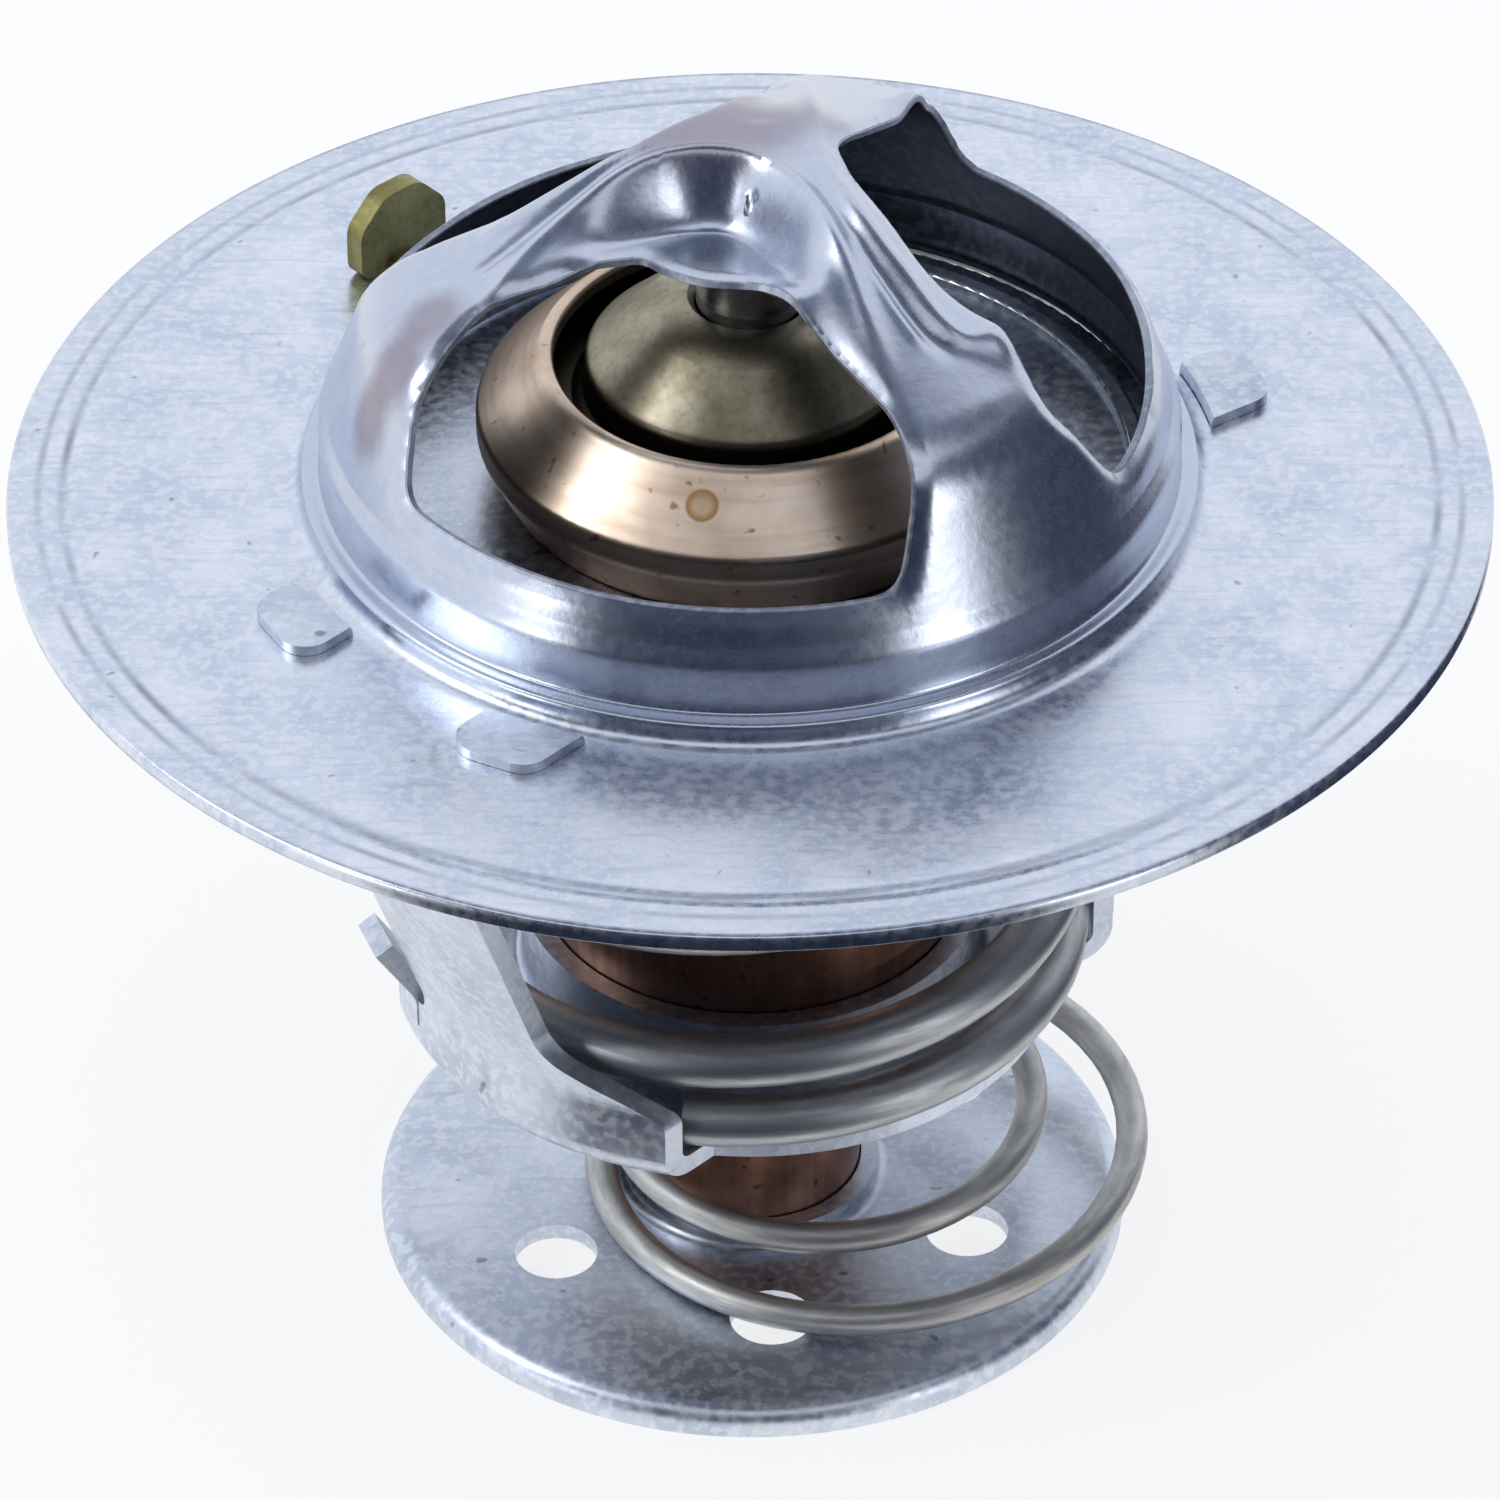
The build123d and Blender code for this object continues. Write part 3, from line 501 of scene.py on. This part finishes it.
# Ribs and furrows pressed into the bridge: route in plan, height, and half width
RIBS = [
    # rear rib of the left leg, along the web and up the rear leg's left edge
    ([(-13.2, -1.2), (-11.2, -0.6), (-9.0, 0.4), (-7.2, 1.1), (-5.8, 2.2), (-4.2, 3.2), (-2.4, 4.8), (-0.8, 7.6),
      (0.2, 12.4)], 0.26, 0.60),
    # arch: front rib of the left leg, round behind the socket and down the right leg
    (ARCH, 0.26, 0.42),
    # crest: down the middle of the rear leg, past the socket and along the right leg's rear edge to its lug
    ([(2.3, 13.2), (2.6, 9.4), (2.8, 6.1), (2.8, 2.8), (3.1, 0.9), (4.0, -1.6), (5.6, -4.2), (7.1, -6.0), (8.1, -7.4),
      (9.1, -8.3), (11.0, -7.9)], 0.42, 0.50),
    # thin middle rib of the right leg
    ([(4.4, -3.9), (5.1, -5.4), (6.2, -7.2), (7.3, -9.0)], 0.12, 0.24),
    # furrow between the left leg's two ribs
    ([(-12.6, -3.2), (-10.4, -1.9), (-8.3, -0.5), (-6.6, 0.7), (-5.2, 1.8), (-3.8, 2.6)], -0.22, 0.36),
    # furrow between the right leg's two ribs
    ([(2.9, 0.0), (3.7, -2.2), (4.7, -4.6), (6.0, -6.4), (7.2, -7.9), (8.6, -9.2)], -0.20, 0.36),
    # front edge of the left leg curls down, as does the right leg's
    ([(-4.4, -4.4), (-8.0, -4.9), (-11.6, -5.4)], -0.20, 0.7),
    ([(1.2, -4.8), (4.2, -9.8), (5.8, -12.6)], -0.24, 0.7),
    # hollow face of the rear leg, left of its crest
    ([(0.4, 4.0), (0.9, 7.0), (1.2, 12.0)], -0.22, 0.9),
]

# Half width of each leg on its two sides, clockwise and anticlockwise, against the radius
REACH = (4.5, 7.0, 9.0, 10.7, 12.5, 13.9, 15.4, 16.6, 17.4, 18.0, 18.4, 18.7, 19.2)
SIDES = {
    70.0: ((2.6, 3.0, 3.1, 3.2, 3.3, 3.6, 3.2, 3.2, 3.3, 3.7, 4.8, 6.1, 6.6),
           (3.4, 3.4, 3.3, 3.2, 3.3, 3.5, 3.2, 3.3, 3.4, 4.0, 5.2, 6.2, 6.6)),
    189.5: ((3.4, 3.2, 2.8, 2.6, 2.8, 3.1, 3.2, 3.5, 3.9, 4.4, 5.2, 6.2, 6.8),
            (1.3, 2.3, 2.9, 2.9, 3.0, 3.6, 4.7, 5.5, 6.0, 6.6, 7.3, 8.0, 8.6)),
    313.5: ((3.2, 3.4, 3.7, 3.9, 3.9, 4.0, 4.5, 5.0, 5.5, 6.2, 6.9, 7.5, 8.2),
            (3.1, 2.7, 2.3, 2.4, 3.0, 3.0, 2.6, 2.4, 3.0, 4.5, 5.9, 6.8, 7.4)),
}
CORNERS = {70.0: 4.2, 189.5: 1.5, 313.5: 1.6}   # how wide the web is between this leg and the next
LIP = {70.0: 5.1, 189.5: 5.1, 313.5: 4.1}   # radius of the hub's edge in the window after each leg
SILL_CORNER = 1.2        # how wide the windows' corners are at the sill
LIP_CORNER = 0.9         # and at the hub
FLANGE_FROM = 20.4       # the flange is flat outside this radius
BLEED_HOLE = (24.0, 133.0, 1.7)             # its place as radius and compass angle, and its radius
SLOTS = (226.0, 34.0)    # the frame's tabs pass up through two slots on each of these sides
SLOT_OFF = 6.5           # from the middle of its side to a slot's middle
SLOT_R = 21.72
SLOT_HALF = (2.24, 0.52)                    # half of its length and of its width

RIBS_FROM = 15.4         # ribs and furrows start at this radius, on the shoulder
RIBS_OVER = 2.2          # and reach their height over this much
CONE_TOP = (5.3, 16.55)  # radius and height where the cone starts
CONE_FALL = 0.4612       # how far it falls for each millimetre outwards
HUB_TOP = 16.5           # the cone is flattened at this height
HUB_FLOOR = 13.55        # the hollow's floor over the pin
HUB_WALL = 2.3           # how far the hollow's wall reaches in from the arch
HUB_END = 13.2           # the hollow runs out at this radius
LUGS = ((326.5, 0.55), (54.5, 0.95), (205.0, 0.15))   # compass angle of each curled lug, and its lift
LUG_R = 13.4
LUG_SPREAD = 1.5
EDGE_ROLL = 0.26         # the punch turns a cut edge down by this much
EDGE_ROLL_OVER = 0.75    # over this width
EDGE_BEVEL = 0.10        # a sheared edge stands out by this much between its bevels
RIM_R = 33.5
RIM_BEVELS = (-0.12, -0.73)                 # heights where the rim's two bevels end


def eased_table(r, table):
    """A leg's half width at each radius, with the table's corners taken off."""
    return sum(np.interp(r + step, REACH, table) for step in (-0.9, -0.5, -0.2, 0.0, 0.2, 0.5, 0.9)) / 7


def soft_min(one, two, soft):
    """The lower of two fields, with the corner between them rounded off."""
    blend = np.clip(0.5 + 0.5 * (two - one) / soft, 0, 1)
    return two * (1 - blend) + one * blend - soft * blend * (1 - blend)


def compass(x, y, degrees):
    """How far each point lies out along a compass angle, and across it."""
    turn = math.radians(degrees)
    return x * math.cos(turn) + y * math.sin(turn), -x * math.sin(turn) + y * math.cos(turn)


def cut_away(r, x, y, turns, past_sill):
    """Where the sheet is cut away: positive in a window or a hole, as a distance from its edge."""
    cut = np.full(x.shape, -9.0)
    for i, leg in enumerate(LEGS):
        following = LEGS[(i + 1) % 3]
        one = (turns - leg + 180) % 360 - 180
        two = (following - turns + 180) % 360 - 180
        past_one = r * np.sin(np.radians(np.clip(one, -90, 90)))[None, :] - eased_table(r, SIDES[leg][1])
        past_two = r * np.sin(np.radians(np.clip(two, -90, 90)))[None, :] - eased_table(r, SIDES[following][0])
        window = soft_min(soft_min(past_one, past_two, CORNERS[leg]), past_sill, SILL_CORNER)
        cut = np.maximum(cut, soft_min(window, r - LIP[leg], LIP_CORNER))
    flat = r > FLANGE_FROM
    hole_r, hole_turn, hole = BLEED_HOLE
    hole_x, hole_y = hole_r * math.cos(math.radians(hole_turn)), hole_r * math.sin(math.radians(hole_turn))
    cut = np.where(flat, np.maximum(cut, hole - np.hypot(x - hole_x, y - hole_y)), cut)
    for side in SLOTS:
        ahead, across = compass(x, y, side)
        for middle in (-SLOT_OFF, SLOT_OFF):
            slot = np.minimum(SLOT_HALF[0] - np.abs(across - middle), SLOT_HALF[1] - np.abs(r - SLOT_R))
            cut = np.where(flat & (ahead > 0), np.maximum(cut, slot), cut)
    return cut


def within(outline, x, y):
    """Which points lie inside an outline in plan."""
    inside = np.zeros(x.shape, dtype=bool)
    for (ax, ay), (bx, by) in zip(outline, outline[1:] + outline[:1]):
        if ay != by:
            inside ^= ((ay > y) != (by > y)) & (x < (bx - ax) * (y - ay) / (by - ay) + ax)
    return inside


def press_marks(r, z, x, y):
    """How far the ribs, the hollow and the curled lugs lift the sheet off its turned section."""
    relief = np.zeros(x.shape)
    for route, height, half in RIBS:
        gap, share = distance_to(smoothed(route), x, y)
        ends = np.clip(np.minimum(share, 1 - share) / 0.10, 0.0, 1.0)
        relief += height * np.exp(-(gap / half) ** 2) * (0.15 + 0.85 * ends)
    fade = np.clip((RIBS_FROM - r) / RIBS_OVER, 0, 1)
    relief *= fade * fade * (3 - 2 * fade)
    # The hub is hollowed out in front of the arch, down to a floor that runs out into the left leg
    cone = CONE_TOP[1] - (r - CONE_TOP[0]) * CONE_FALL
    roof = soft_min(np.where(r < 7, cone, z), HUB_TOP + 0 * z, 0.6)
    floor = HUB_FLOOR + 0.038 * np.clip(-y, 0, None) ** 2 + 0.12 * np.clip(-x - 2, 0, None)
    floor = soft_min(floor, cone - 0.40, 0.8)
    gap, _ = distance_to(smoothed(ARCH), x, y)
    down = np.where(within(HOLLOW, x, y), np.clip(gap / HUB_WALL, 0, 1), 0) * np.clip((HUB_END - r) / 3, 0, 1)
    down = down * down * (3 - 2 * down)
    relief += np.where(r < 14, (roof - z) * (r < 9) + (floor - roof) * down, 0)
    # The lugs at the legs' ends curl up
    for lug, lift in LUGS:
        lug_x, lug_y = LUG_R * math.cos(math.radians(lug)), LUG_R * math.sin(math.radians(lug))
        relief += lift * np.exp(-((x - lug_x) ** 2 + (y - lug_y) ** 2) / LUG_SPREAD)
    return relief


def squared_off(face):
    """Eased normals of a grid of points that closes on itself round the axis."""
    normal = np.cross(np.gradient(face, axis=0), np.roll(face, -1, 1) - np.roll(face, 1, 1))
    normal /= np.maximum(np.linalg.norm(normal, axis=-1, keepdims=True), 1e-9)
    for _ in range(4):
        normal[1:-1] = (normal[:-2] + normal[2:] + np.roll(normal, -2, 1)[1:-1] + np.roll(normal, 2, 1)[1:-1]) / 4
    return normal / np.maximum(np.linalg.norm(normal, axis=-1, keepdims=True), 1e-9)


def punched(top, bottom, cut):
    """Points and faces of the sheet's two faces, less what is cut away, and the cuts' borders: each two
    pairs of an outer and an inner point."""
    rows = len(top)
    half_count = rows * ROUND
    points = [tuple(p) for p in top.reshape(-1, 3)] + [tuple(p) for p in bottom.reshape(-1, 3)]
    faces, crossings, borders = [], {}, []

    def crossing(a, b):
        """Point where the cut's edge crosses the side a-b of a cell, on the outer and the inner face."""
        key = (min(a, b), max(a, b))
        if key not in crossings:
            fa, fb = cut.flat[key[0]], cut.flat[key[1]]
            share = min(max(fa / (fa - fb), 0.02), 0.98)
            pair = []
            for shift in (0, half_count):
                pa, pb = np.array(points[key[0] + shift]), np.array(points[key[1] + shift])
                points.append(tuple(pa + (pb - pa) * share))
                pair.append(len(points) - 1)
            crossings[key] = pair
        return crossings[key]

    keep = cut < 0
    beside = np.roll(keep, -1, 1)
    whole = keep[:-1] & keep[1:] & beside[:-1] & beside[1:]
    none = ~(keep[:-1] | keep[1:] | beside[:-1] | beside[1:])
    for row in range(rows - 1):
        for col in range(ROUND):
            if none[row, col]:
                continue
            nxt = (col + 1) % ROUND
            cell = [row * ROUND + col, (row + 1) * ROUND + col, (row + 1) * ROUND + nxt, row * ROUND + nxt]
            if whole[row, col]:
                faces.append(cell)
                faces.append([v + half_count for v in cell[::-1]])
                continue
            upper, lower, left, first = [], [], None, None
            for a, b in zip(cell, cell[1:] + cell[:1]):
                if keep.flat[a]:
                    upper.append(a)
                    lower.append(a + half_count)
                if keep.flat[a] != keep.flat[b]:
                    pair = crossing(a, b)
                    upper.append(pair[0])
                    lower.append(pair[1])
                    if keep.flat[a]:
                        left = pair
                    elif left is not None:
                        borders.append((left, pair))
                        left = None
                    else:
                        first = pair
            if left is not None and first is not None:
                borders.append((left, first))
            faces.append(upper)
            faces.append(lower[::-1])
    return points, faces, borders


def shear(points, faces, borders):
    """Closes each cut with a wall that has a small bevel along both of its edges."""
    out = {}
    for one, two in borders:
        a, b = np.array(points[one[0]]), np.array(points[two[0]])
        push = np.cross(b - a, np.array(points[one[1]]) - a)
        size = np.linalg.norm(push)
        if size > 1e-9:
            for pair in (one, two):
                out[pair[0]] = out.get(pair[0], np.zeros(3)) + push / size
    walls = {}
    for one, two in borders:
        for pair in (one, two):
            if pair[0] in walls:
                continue
            a, b = np.array(points[pair[0]]), np.array(points[pair[1]])
            push = out.get(pair[0], np.zeros(3))
            push = push / max(np.linalg.norm(push), 1e-9) * EDGE_BEVEL
            points.append(tuple(a + (b - a) * 0.16 - push))
            points.append(tuple(b + (a - b) * 0.12 - push))
            walls[pair[0]] = (pair[0], len(points) - 2, len(points) - 1, pair[1])
    for one, two in borders:
        a, b = walls[one[0]], walls[two[0]]
        for k in range(3):
            faces.append([b[k], a[k], a[k + 1], b[k + 1]])


def pressed_bridge():
    outer = rounded(SECTION, PARTS)
    drawn = np.clip((outer[:, 1:] - DRAWN_FROM) / DRAWN_OVER, 0, 1)
    inner = rounded(under(SECTION, SHEET), PARTS) * (1 - drawn) + rounded(under(SECTION, DRAWN_SHEET), PARTS) * drawn
    inner[0][0] = outer[0][0]
    rows = len(outer)
    angle = np.arange(ROUND) * 2 * math.pi / ROUND
    c, s = np.cos(angle)[None, :], np.sin(angle)[None, :]
    r, z = outer[:, 0][:, None] + 0 * c, outer[:, 1][:, None] + 0 * c
    x, y = r * c, r * s

    # The sill is measured down the section, so that the windows' edge is even on the steep wall
    length = np.concatenate([[0], np.cumsum(np.hypot(*np.diff(outer, axis=0).T))])
    high = np.interp(np.degrees(angle), SILL_TURN, SILL_Z)
    below = outer[:, 1] < 12
    sill = np.interp(-high, -outer[:, 1][below], length[below])
    cut = cut_away(r, x, y, np.degrees(angle), sill[None, :] - length[:, None])
    relief = press_marks(r, z, x, y)

    # The punch rounds the outer edge over
    edge = np.clip(1 + cut / EDGE_ROLL_OVER, 0, 1)
    roll = EDGE_ROLL * edge * edge * (r < 19)
    tangent = np.gradient(outer, axis=0)
    tangent /= np.hypot(*tangent.T)[:, None]
    normal_r, normal_z = -tangent[:, 1][:, None], tangent[:, 0][:, None]
    top = np.stack([(r - normal_r * roll) * c, (r - normal_r * roll) * s, z + relief - normal_z * roll], axis=-1)
    inner_r, inner_z = inner[:, 0][:, None], inner[:, 1][:, None]
    bottom = np.stack([inner_r * c, inner_r * s, inner_z + relief], axis=-1)
    # Over the hub the inner face is set off square from the outer one
    face = np.stack([x, y, z + relief], axis=-1)
    outward = np.clip((r - 9) / 3, 0, 1)[:, :, None]
    bottom = (face - squared_off(face) * DRAWN_SHEET) * (1 - outward) + bottom * outward

    half_count = rows * ROUND
    points, faces, borders = punched(top, bottom, cut)
    inner_cuts = {pair[1] for border in borders for pair in border}
    first_wall = len(faces)
    shear(points, faces, borders)
    last_wall = len(faces)

    # Socket's middle, and the flange's rim with its two small bevels
    points.append((0, 0, outer[0, 1]))
    points.append((0, 0, inner[0, 1]))
    for col in range(ROUND):
        nxt = (col + 1) % ROUND
        faces.append([col, nxt, len(points) - 2])
        faces.append([half_count + nxt, half_count + col, len(points) - 1])
    rim = len(points)
    for height in RIM_BEVELS:
        points += [(RIM_R * math.cos(t), RIM_R * math.sin(t), height) for t in angle]
    last = (rows - 1) * ROUND
    for col in range(ROUND):
        nxt = (col + 1) % ROUND
        chain = [(start + col, start + nxt) for start in (last, rim, rim + ROUND, half_count + last)]
        for (a, b), (d, e) in zip(chain, chain[1:]):
            faces.append([a, d, e, b])

    piece = made_mesh("pressed_bridge", points, faces, bridge_zinc, sharp=50)
    piece.data.materials.append(shaded_inner_zinc)
    piece.data.materials.append(sheared_edge)
    slots = np.zeros(len(piece.data.polygons), dtype=np.int32)
    for polygon in piece.data.polygons:
        if all(half_count <= v < 2 * half_count or v in inner_cuts for v in polygon.vertices):
            slots[polygon.index] = 1
    slots[first_wall:last_wall] = 2
    piece.data.polygons.foreach_set("material_index", slots)
    return piece


bridge = pressed_bridge()
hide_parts("flange_bridge")
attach(bridge, "housing")


# ---- Springs: round wire, wound as in the model -------------------------------------------------------

def wound(name, wire, turns, start, station, mat, sides=20, steps=64):
    """Wire of round section along station(turn), which gives the centre, radius and height there."""
    count = int(round(turns * steps)) + 1
    middle = []
    for i in range(count):
        turn = i / steps
        (cx, cy), radius, height = station(turn)
        a = math.radians(start) + 2 * math.pi * turn
        middle.append(Vector((cx + radius * math.cos(a), cy + radius * math.sin(a), height)))
    points, faces = [], []
    for i, here in enumerate(middle):
        ahead = (middle[min(i + 1, count - 1)] - middle[max(i - 1, 0)]).normalized()
        side = ahead.cross(Vector((0, 0, 1))).normalized()
        up = side.cross(ahead)
        for k in range(sides):
            t = 2 * math.pi * k / sides
            points.append(tuple(here + (side * math.cos(t) + up * math.sin(t)) * wire / 2))
    for i in range(count - 1):
        for k in range(sides):
            n = (k + 1) % sides
            faces.append([i * sides + k, i * sides + n, (i + 1) * sides + n, (i + 1) * sides + k])
    faces.append(list(range(sides))[::-1])
    faces.append([(count - 1) * sides + k for k in range(sides)])
    return made_mesh(name, points, faces, mat, sharp=50)


def eased(course, turn):
    """Values at a turn on a smooth line through the (turn, value, ...) rows."""
    rows = [np.array(row, float) for row in course]
    n = next((i for i in range(1, len(rows)) if rows[i][0] >= turn - 1e-9), len(rows) - 1)
    p1, p2 = rows[n - 1], rows[n]
    p0 = rows[n - 2] if n > 1 else p1
    p3 = rows[n + 1] if n + 1 < len(rows) else p2
    t = (turn - p1[0]) / (p2[0] - p1[0])
    span = p2[0] - p1[0]
    m1 = (p2 - p0) / max(p2[0] - p0[0], 1e-6) * span
    m2 = (p3 - p1) / max(p3[0] - p1[0], 1e-6) * span
    value = (2 * t ** 3 - 3 * t ** 2 + 1) * p1 + (t ** 3 - 2 * t ** 2 + t) * m1
    value = value + (3 * t ** 2 - 2 * t ** 3) * p2 + (t ** 3 - t ** 2) * m2
    return value[1:]


SPRING_TURNS = 4         # both springs have four turns

main_low, main_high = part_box("main_spring")
MAIN_WIRE = 2.45
MAIN_COIL_R = 14.5       # to the wire's middle
MAIN_START = 258         # compass angle of the wire's lower end
MAIN_RISE = ((0, 0.0), (1, 3.4), (2, 11.0), (3, 19.6), (4, 24.1))   # height at each turn
main_base = main_low[2] / MM + MAIN_WIRE / 2


def main_station(turn):
    rise = float(eased(MAIN_RISE, turn)[0])
    return (0, 0), MAIN_COIL_R, main_base + min(max(rise, 0.0), MAIN_RISE[-1][1])


main = wound("main_spring_coil", MAIN_WIRE, SPRING_TURNS, MAIN_START, main_station, main_wire)
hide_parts("main_spring")
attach(main, "housing")
# The valve opens by 9 mm
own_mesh(main)

by_low, by_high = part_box("bypass_spring")
BY_WIRE = 1.5
BY_STEM_R = 6.6          # radius round the stem, to the wire's middle
BY_GROWTH = 5.9          # how much wider the lowest turn is
BY_LEAN = (5.3, -0.2)    # the lowest turn's centre
BY_START = 160
# At a turn: the share of the height, of the growth and of the lean
BY_COURSE = (
    (0, 0, 1, 1), (0.3, 0.03, 1, 1), (0.7, 0.2, 1, 1), (1.3, 0.29, 0.6, 0.8), (3, 0.93, 0.04, 0.05), (4, 1, 0, 0),
)
by_base, by_top = by_low[2] / MM + BY_WIRE / 2, by_high[2] / MM - BY_WIRE / 2


def bypass_station(turn):
    rise, growth, lean = (float(v) for v in eased(BY_COURSE, turn))
    rise = min(max(rise, 0.0), 1.0)
    centre = (BY_LEAN[0] * lean, BY_LEAN[1] * lean)
    return centre, BY_STEM_R + BY_GROWTH * growth, by_base + (by_top - by_base) * rise


bypass = wound("bypass_spring_coil", BY_WIRE, SPRING_TURNS, BY_START, bypass_station, bypass_wire)
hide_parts("bypass_spring")
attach(bypass, "element")
# The plate slides up by 8 mm
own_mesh(bypass)


# ---- Stage, light and camera ------------------------------------------------------------------------

floor_z = cad_box[0].z
bpy.ops.mesh.primitive_plane_add(size=8, location=(0, 0, floor_z))
floor = bpy.context.object
floor.name = "floor"
pale = blank("Pale floor")
path = add(pale, "ShaderNodeLightPath").outputs
shown = add(pale, "ShaderNodeMath", {
    0: path["Is Camera Ray"], 1: path["Is Glossy Ray"]}, operation="MAXIMUM").outputs[0]
shown = add(pale, "ShaderNodeMath", {0: shown, 1: path["Is Transmission Ray"]}, operation="MAXIMUM").outputs[0]
# The rest is plain paint, which keeps the valve's shadow
share = add(pale, "ShaderNodeMath", {0: shown, 1: 0.8}, operation="MULTIPLY").outputs[0]
paint = add(pale, "ShaderNodeBsdfDiffuse", {"Color": rgb("#F4F6FA")}).outputs["BSDF"]
glow = add(pale, "ShaderNodeEmission", {"Color": rgb("#FFFFFF"), "Strength": 1.0}).outputs["Emission"]
both = add(pale, "ShaderNodeMixShader", {0: share, 1: paint, 2: glow}).outputs["Shader"]
add(pale, "ShaderNodeOutputMaterial", {"Surface": both})
floor.data.materials.append(pale)

world = bpy.data.worlds.new("White tent")
world.use_nodes = True
bpy.context.scene.world = world
world.node_tree.nodes.clear()
shine = add(world, "ShaderNodeBackground", {"Color": rgb("#F2F6FF"), "Strength": 0.97})
add(world, "ShaderNodeOutputWorld", {"Surface": shine.outputs["Background"]})


def card(name, corners, shade):
    """Dark card of the light tent, seen only in the metal's shine."""
    mat = blank(name + " paper")
    dull = add(mat, "ShaderNodeEmission", {"Color": rgb(shade), "Strength": 1.0})
    add(mat, "ShaderNodeOutputMaterial", {"Surface": dull.outputs["Emission"]})
    mesh = bpy.data.meshes.new(name)
    mesh.from_pydata(corners, [], [list(range(len(corners)))])
    mesh.materials.append(mat)
    made = bpy.data.objects.new(name, mesh)
    bpy.context.collection.objects.link(made)
    made.visible_camera = made.visible_diffuse = made.visible_shadow = made.visible_transmission = False


# Metres and degrees
CARD_Z = floor_z + 0.0006   # a floor card lies just over the floor
CARD_END = 0.7              # and ends this far out
WALL_R = 0.75
TOP_Z = 0.62


def swept(start, end, parts):
    """Angles in radians from one compass angle to another."""
    return [math.radians(start + (end - start) * k / parts) for k in range(parts + 1)]


def fan(start, end, near):
    """Corners of a ring's sector on the floor, from one compass angle to another."""
    turns = swept(start, end, 12)
    inner = [(near * math.cos(t), near * math.sin(t), CARD_Z) for t in turns]
    return inner + [(CARD_END * math.cos(t), CARD_END * math.sin(t), CARD_Z) for t in turns[::-1]]


def wall(start, end, low, high):
    """Corners of a curved upright card, between two compass angles and two heights above the horizon."""
    turns = swept(start, end, 10)
    rows = []
    for lift in (math.radians(low), math.radians(high)):
        out, up = WALL_R * math.cos(lift), WALL_R * math.sin(lift)
        rows.append([(out * math.cos(t), out * math.sin(t), up) for t in turns])
    return rows[0] + rows[1][::-1]


def overhead(left, right, front, rear):
    """Corners of a level card over the valve."""
    return [(left, front, TOP_Z), (right, front, TOP_Z), (right, rear, TOP_Z), (left, rear, TOP_Z)]


card("front floor card", fan(223, 310, 0.030), "#262B39")
card("right floor card", fan(330, 395, 0.045), "#343A4C")
card("front wall card", wall(223, 311, -3, 20), "#31374A")
card("front upper card", wall(205, 385, 18, 42), "#3A4156")
card("right wall card", wall(330, 385, -3, 20), "#3A4156")
card("right upper card", wall(345, 385, 44, 58), "#3F465A")
card("front top card", overhead(-0.25, 0.25, -0.28, -0.10), "#171B26")
card("top card", overhead(-0.40, 0.5, -0.10, 0.20), "#6A7488")


def soft_light(name, where, target, size, power):
    """White soft box, of a width and a height in metres, aimed at the target."""
    data = bpy.data.lights.new(name, "AREA")
    data.shape = "RECTANGLE"
    data.size, data.size_y = size
    data.energy = power
    light = bpy.data.objects.new(name, data)
    light.location = where
    light.rotation_euler = (Vector(target) - Vector(where)).to_track_quat("-Z", "Y").to_euler()
    bpy.context.collection.objects.link(light)


soft_light("left soft box", (-0.36, -0.08, 0.28), (0, 0, -0.01), (0.16, 0.16), 0.35)
soft_light("front left strip", (-0.42, -0.32, 0.07), (0, 0, 0), (0.08, 0.20), 0.17)
soft_light("front right strip", (0.42, -0.38, 0.11), (0, 0, 0), (0.12, 0.32), 0.32)

DISTANCE = 0.460362
ROLL = -0.19
look = Vector((-0.041, 0.0, -15.322)) * MM
tilt = math.radians(37.058)   # how far the camera looks down
back = Vector((0, -math.cos(tilt), math.sin(tilt)))
camera = bpy.data.objects.new("camera", bpy.data.cameras.new("camera"))
camera.data.sensor_width = 36
camera.data.lens = 240
camera.data.clip_start, camera.data.clip_end = 0.05, 20
camera.location = look + back * DISTANCE
camera.rotation_mode = "QUATERNION"
camera.rotation_quaternion = (-back).to_track_quat("-Z", "Y") @ Quaternion((0, 0, 1), math.radians(ROLL))
bpy.context.collection.objects.link(camera)
bpy.context.scene.camera = camera
bpy.context.scene.view_settings.view_transform = "Standard"
